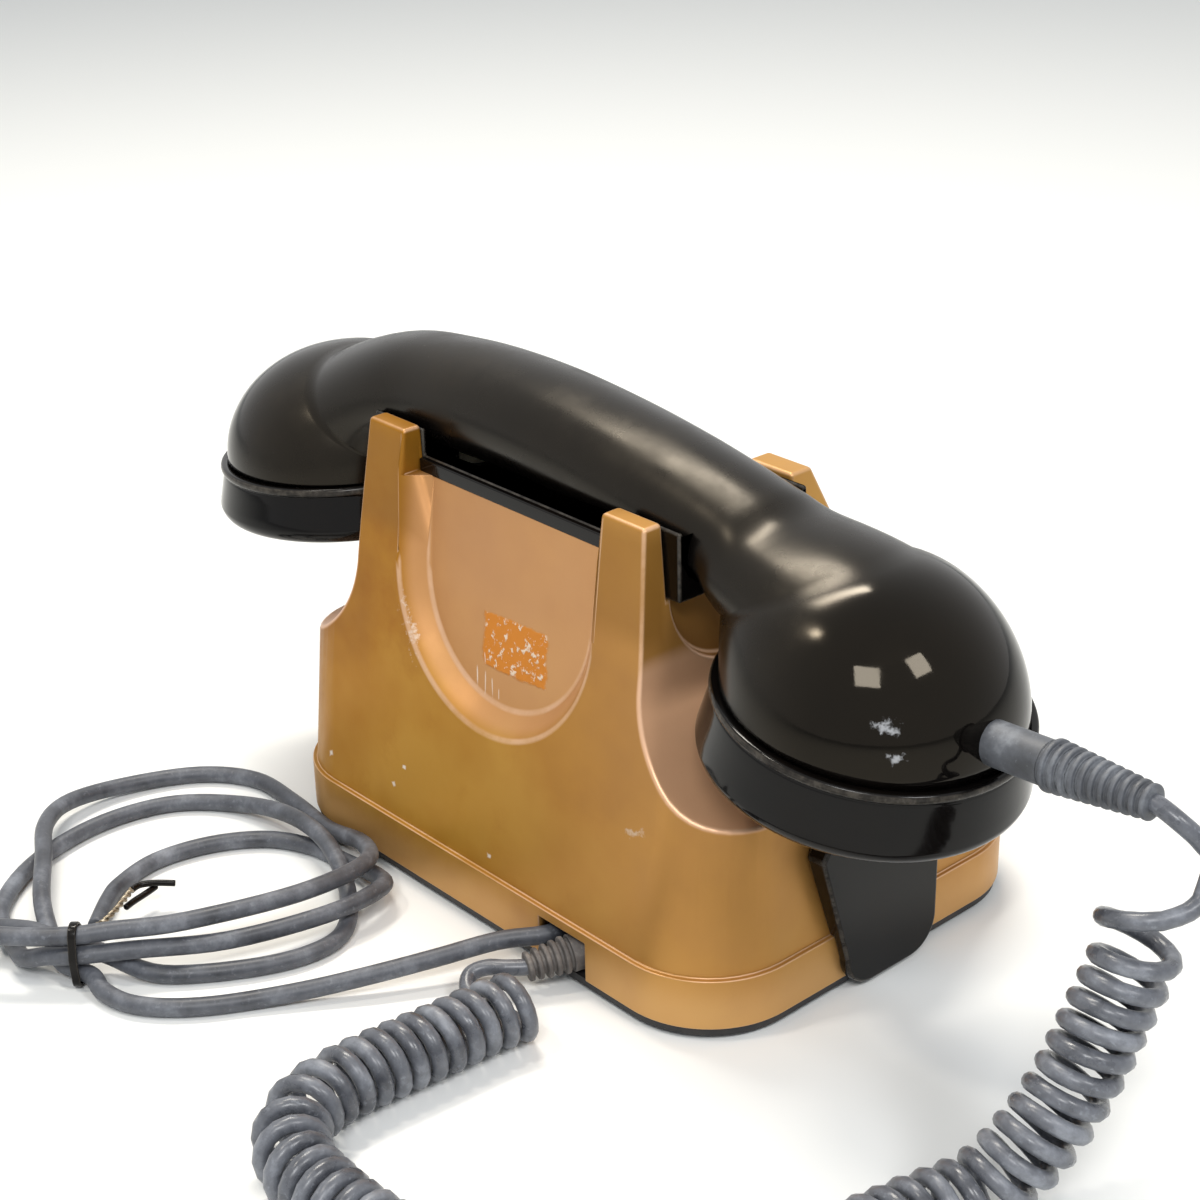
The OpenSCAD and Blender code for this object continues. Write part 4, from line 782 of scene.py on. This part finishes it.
def on_section(row, angle):
    x, z, slant, above, below, half, square = row
    c, s = math.cos(angle), math.sin(angle)
    u = math.copysign(abs(c) ** (2 / square), c) * (above if c > 0 else below)
    v = math.copysign(abs(s) ** (2 / square), s) * half
    lean = math.radians(slant)
    return Vector((x + u * math.cos(lean), 17.3 - v, z + u * math.sin(lean))) * MM


grip_work = bmesh.new()
turn_of = grip_work.verts.layers.float.new("turn_of")
worn = grip_work.verts.layers.float.new("worn")
rim = bmesh.ops.create_circle(grip_work, segments=72, radius=1)["verts"]
for vertex in rim:
    vertex[turn_of] = math.atan2(vertex.co.y, vertex.co.x)
    vertex.co = on_section(stations[0], vertex[turn_of])
edges = grip_work.edges[:]
mouth_edges = edges
for row in stations[1:]:
    grown = bmesh.ops.extrude_edge_only(grip_work, edges=edges)["geom"]
    rim = {g for g in grown if isinstance(g, bmesh.types.BMVert)}
    edges = [g for g in grown if isinstance(g, bmesh.types.BMEdge) and all(v in rim for v in g.verts)]
    for vertex in rim:
        vertex.co = on_section(row, vertex[turn_of])


def neck(work, edges, sign, x, z, tilt):
    joint = Matrix.Translation((sign * x * MM, 17.3 * MM, z * MM)) @ Matrix.Rotation(
        math.radians(180 + sign * tilt), 4, "Y")
    for radius, depth in ((28, 0), (28, 6), (25.4, 6), (25.4, -8)):
        grown = bmesh.ops.extrude_edge_only(work, edges=edges)["geom"]
        rim = {g for g in grown if isinstance(g, bmesh.types.BMVert)}
        edges = [g for g in grown if isinstance(g, bmesh.types.BMEdge) and all(v in rim for v in g.verts)]
        for vertex in rim:
            here = joint.inverted() @ vertex.co
            here.z = 0
            vertex.co = joint @ (here.normalized() * radius * MM + Vector((0, 0, depth * MM)))
    bmesh.ops.contextual_create(work, geom=edges)


neck(grip_work, mouth_edges, -1, 83.6, 75, 10)
neck(grip_work, edges, 1, 83.2, 80, 4.5)
bmesh.ops.recalc_face_normals(grip_work, faces=grip_work.faces)
grip_black = bakelite("grip_black", 0.05, 0.5, 0.9)
tree = grip_black.node_tree
shader = tree.nodes["Principled BSDF"]
shader.inputs["Specular Tint"].default_value = (1, 0.88, 0.7, 1)
place = put(tree, "ShaderNodeTexCoord").outputs["Object"]
along = put(tree, "ShaderNodeMath", {0: put(tree, "ShaderNodeSeparateXYZ", {0: place}).outputs[0]},
            operation="ABSOLUTE").outputs[0]
dulled = times(tree, shader.inputs["Roughness"].links[0].from_socket, between(tree, along, 0.08, 0.094, 0.2, 0), "ADD")
tree.links.new(between(tree, along, 0.08, 0.094, 0.27, 0.2), shader.inputs["Specular IOR Level"])
tree.links.new(dulled, shader.inputs["Roughness"])
chalk = shader.inputs["Base Color"].links[0].from_socket
for middle, half in (((-103.5, 38, 83), (1.7, 4, 1.9)), ((-106, 36.5, 77.5), (1.1, 4, 1.2))):
    chalk = stain_and_light(tree, chalk, mark(tree, middle, half, 25, 0.3, 1.1, 500), 0.75, paint(176, 178, 182))
tree.links.new(chalk, shader.inputs["Base Color"])
grip = even(piece("handset_shell", grip_work))
fit(grip, "handset", grip_black, ["handset_grip"])


# Caps and capsules. Each black cap screws over a neck of the handset with a thin bead at the joint, and holds a
# round capsule in place behind nineteen drilled holes.
def capped(name, node, sign, x, z, tilt, depth):
    joint = Matrix.Translation((sign * x * MM, 17.3 * MM, z * MM)) @ Matrix.Rotation(
        math.radians(180 + sign * tilt), 4, "Y")
    profile = [(28.1, depth - 2.6), (28.1, 0.1), (30.8, 0.1)]
    profile += [(31.1 + 0.75 * math.cos(a), 1.15 + 1.05 * math.sin(a))
                for a in [math.radians(-80 + 20 * k) for k in range(9)]]
    profile += [(31.15, 2.35), (31.25, 2.6), (31.4, 3)]
    profile += [(31.4 + 1.6 * k / 4, 3 + (depth - 6.6) * k / 4) for k in range(1, 5)]
    profile += [(29.4 + 3.6 * math.cos(a), depth - 3.6 + 3.6 * math.sin(a))
                for a in [math.radians(10 * k) for k in range(1, 10)]]
    wall = lathe(profile, closed=False)
    rims = [e for e in wall.edges if e.is_boundary]
    drilled = [(0.21 * 33 * n * math.cos(math.tau * k / (6 * n)), 0.21 * 33 * n * math.sin(math.tau * k / (6 * n)), 1.3)
               for n in (1, 2) for k in range(6 * n)] + [(0, 0, 1.3)]
    for height in (depth, depth - 2.6):
        level = [e for e in rims if abs(e.verts[0].co.z - height * MM) < 1e-6]
        holes = []
        for hx, hy, radius in drilled:
            made = bmesh.ops.create_circle(wall, segments=24, radius=radius * MM,
                                           matrix=Matrix.Translation((hx * MM, hy * MM, height * MM)))["verts"]
            holes += list({e for v in made for e in v.link_edges})
        bmesh.ops.triangle_fill(wall, use_beauty=True, use_dissolve=False, edges=level + holes)
    for hx, hy, radius in drilled:
        pair = [e for e in wall.edges if e.is_boundary and all(
            abs(math.hypot(v.co.x - hx * MM, v.co.y - hy * MM) - radius * MM) < 1e-6 for v in e.verts)]
        bmesh.ops.bridge_loops(wall, edges=pair)
    bmesh.ops.recalc_face_normals(wall, faces=wall.faces)
    layer = wall.verts.layers.float.new("worn")
    for vertex in wall.verts:
        out, up = math.hypot(vertex.co.x, vertex.co.y), vertex.co.z / MM
        if out > 31.5 * MM and up < 1.8:
            vertex[layer] = 1
        elif out > 31.2 * MM and up > depth - 2.2:
            vertex[layer] = 0.35
    bmesh.ops.transform(wall, matrix=joint, verts=wall.verts)
    made = even(piece(name, wall))
    return fit(made, "handset", gloss_black, [node])


capped("mouthpiece_cap", "mouth_cap", -1, 83.6, 75, 10, 16)
capped("earpiece_cap", "ear_cap", 1, 83.2, 80, 4.5, 13.5)
capsule = mottled("capsule_plastic", paint(40, 40, 42), paint(62, 62, 64), paint(108, 106, 102), 0.55, 110, 1300)
wear("transmitter_capsule", capsule)
wear("receiver_capsule", capsule)
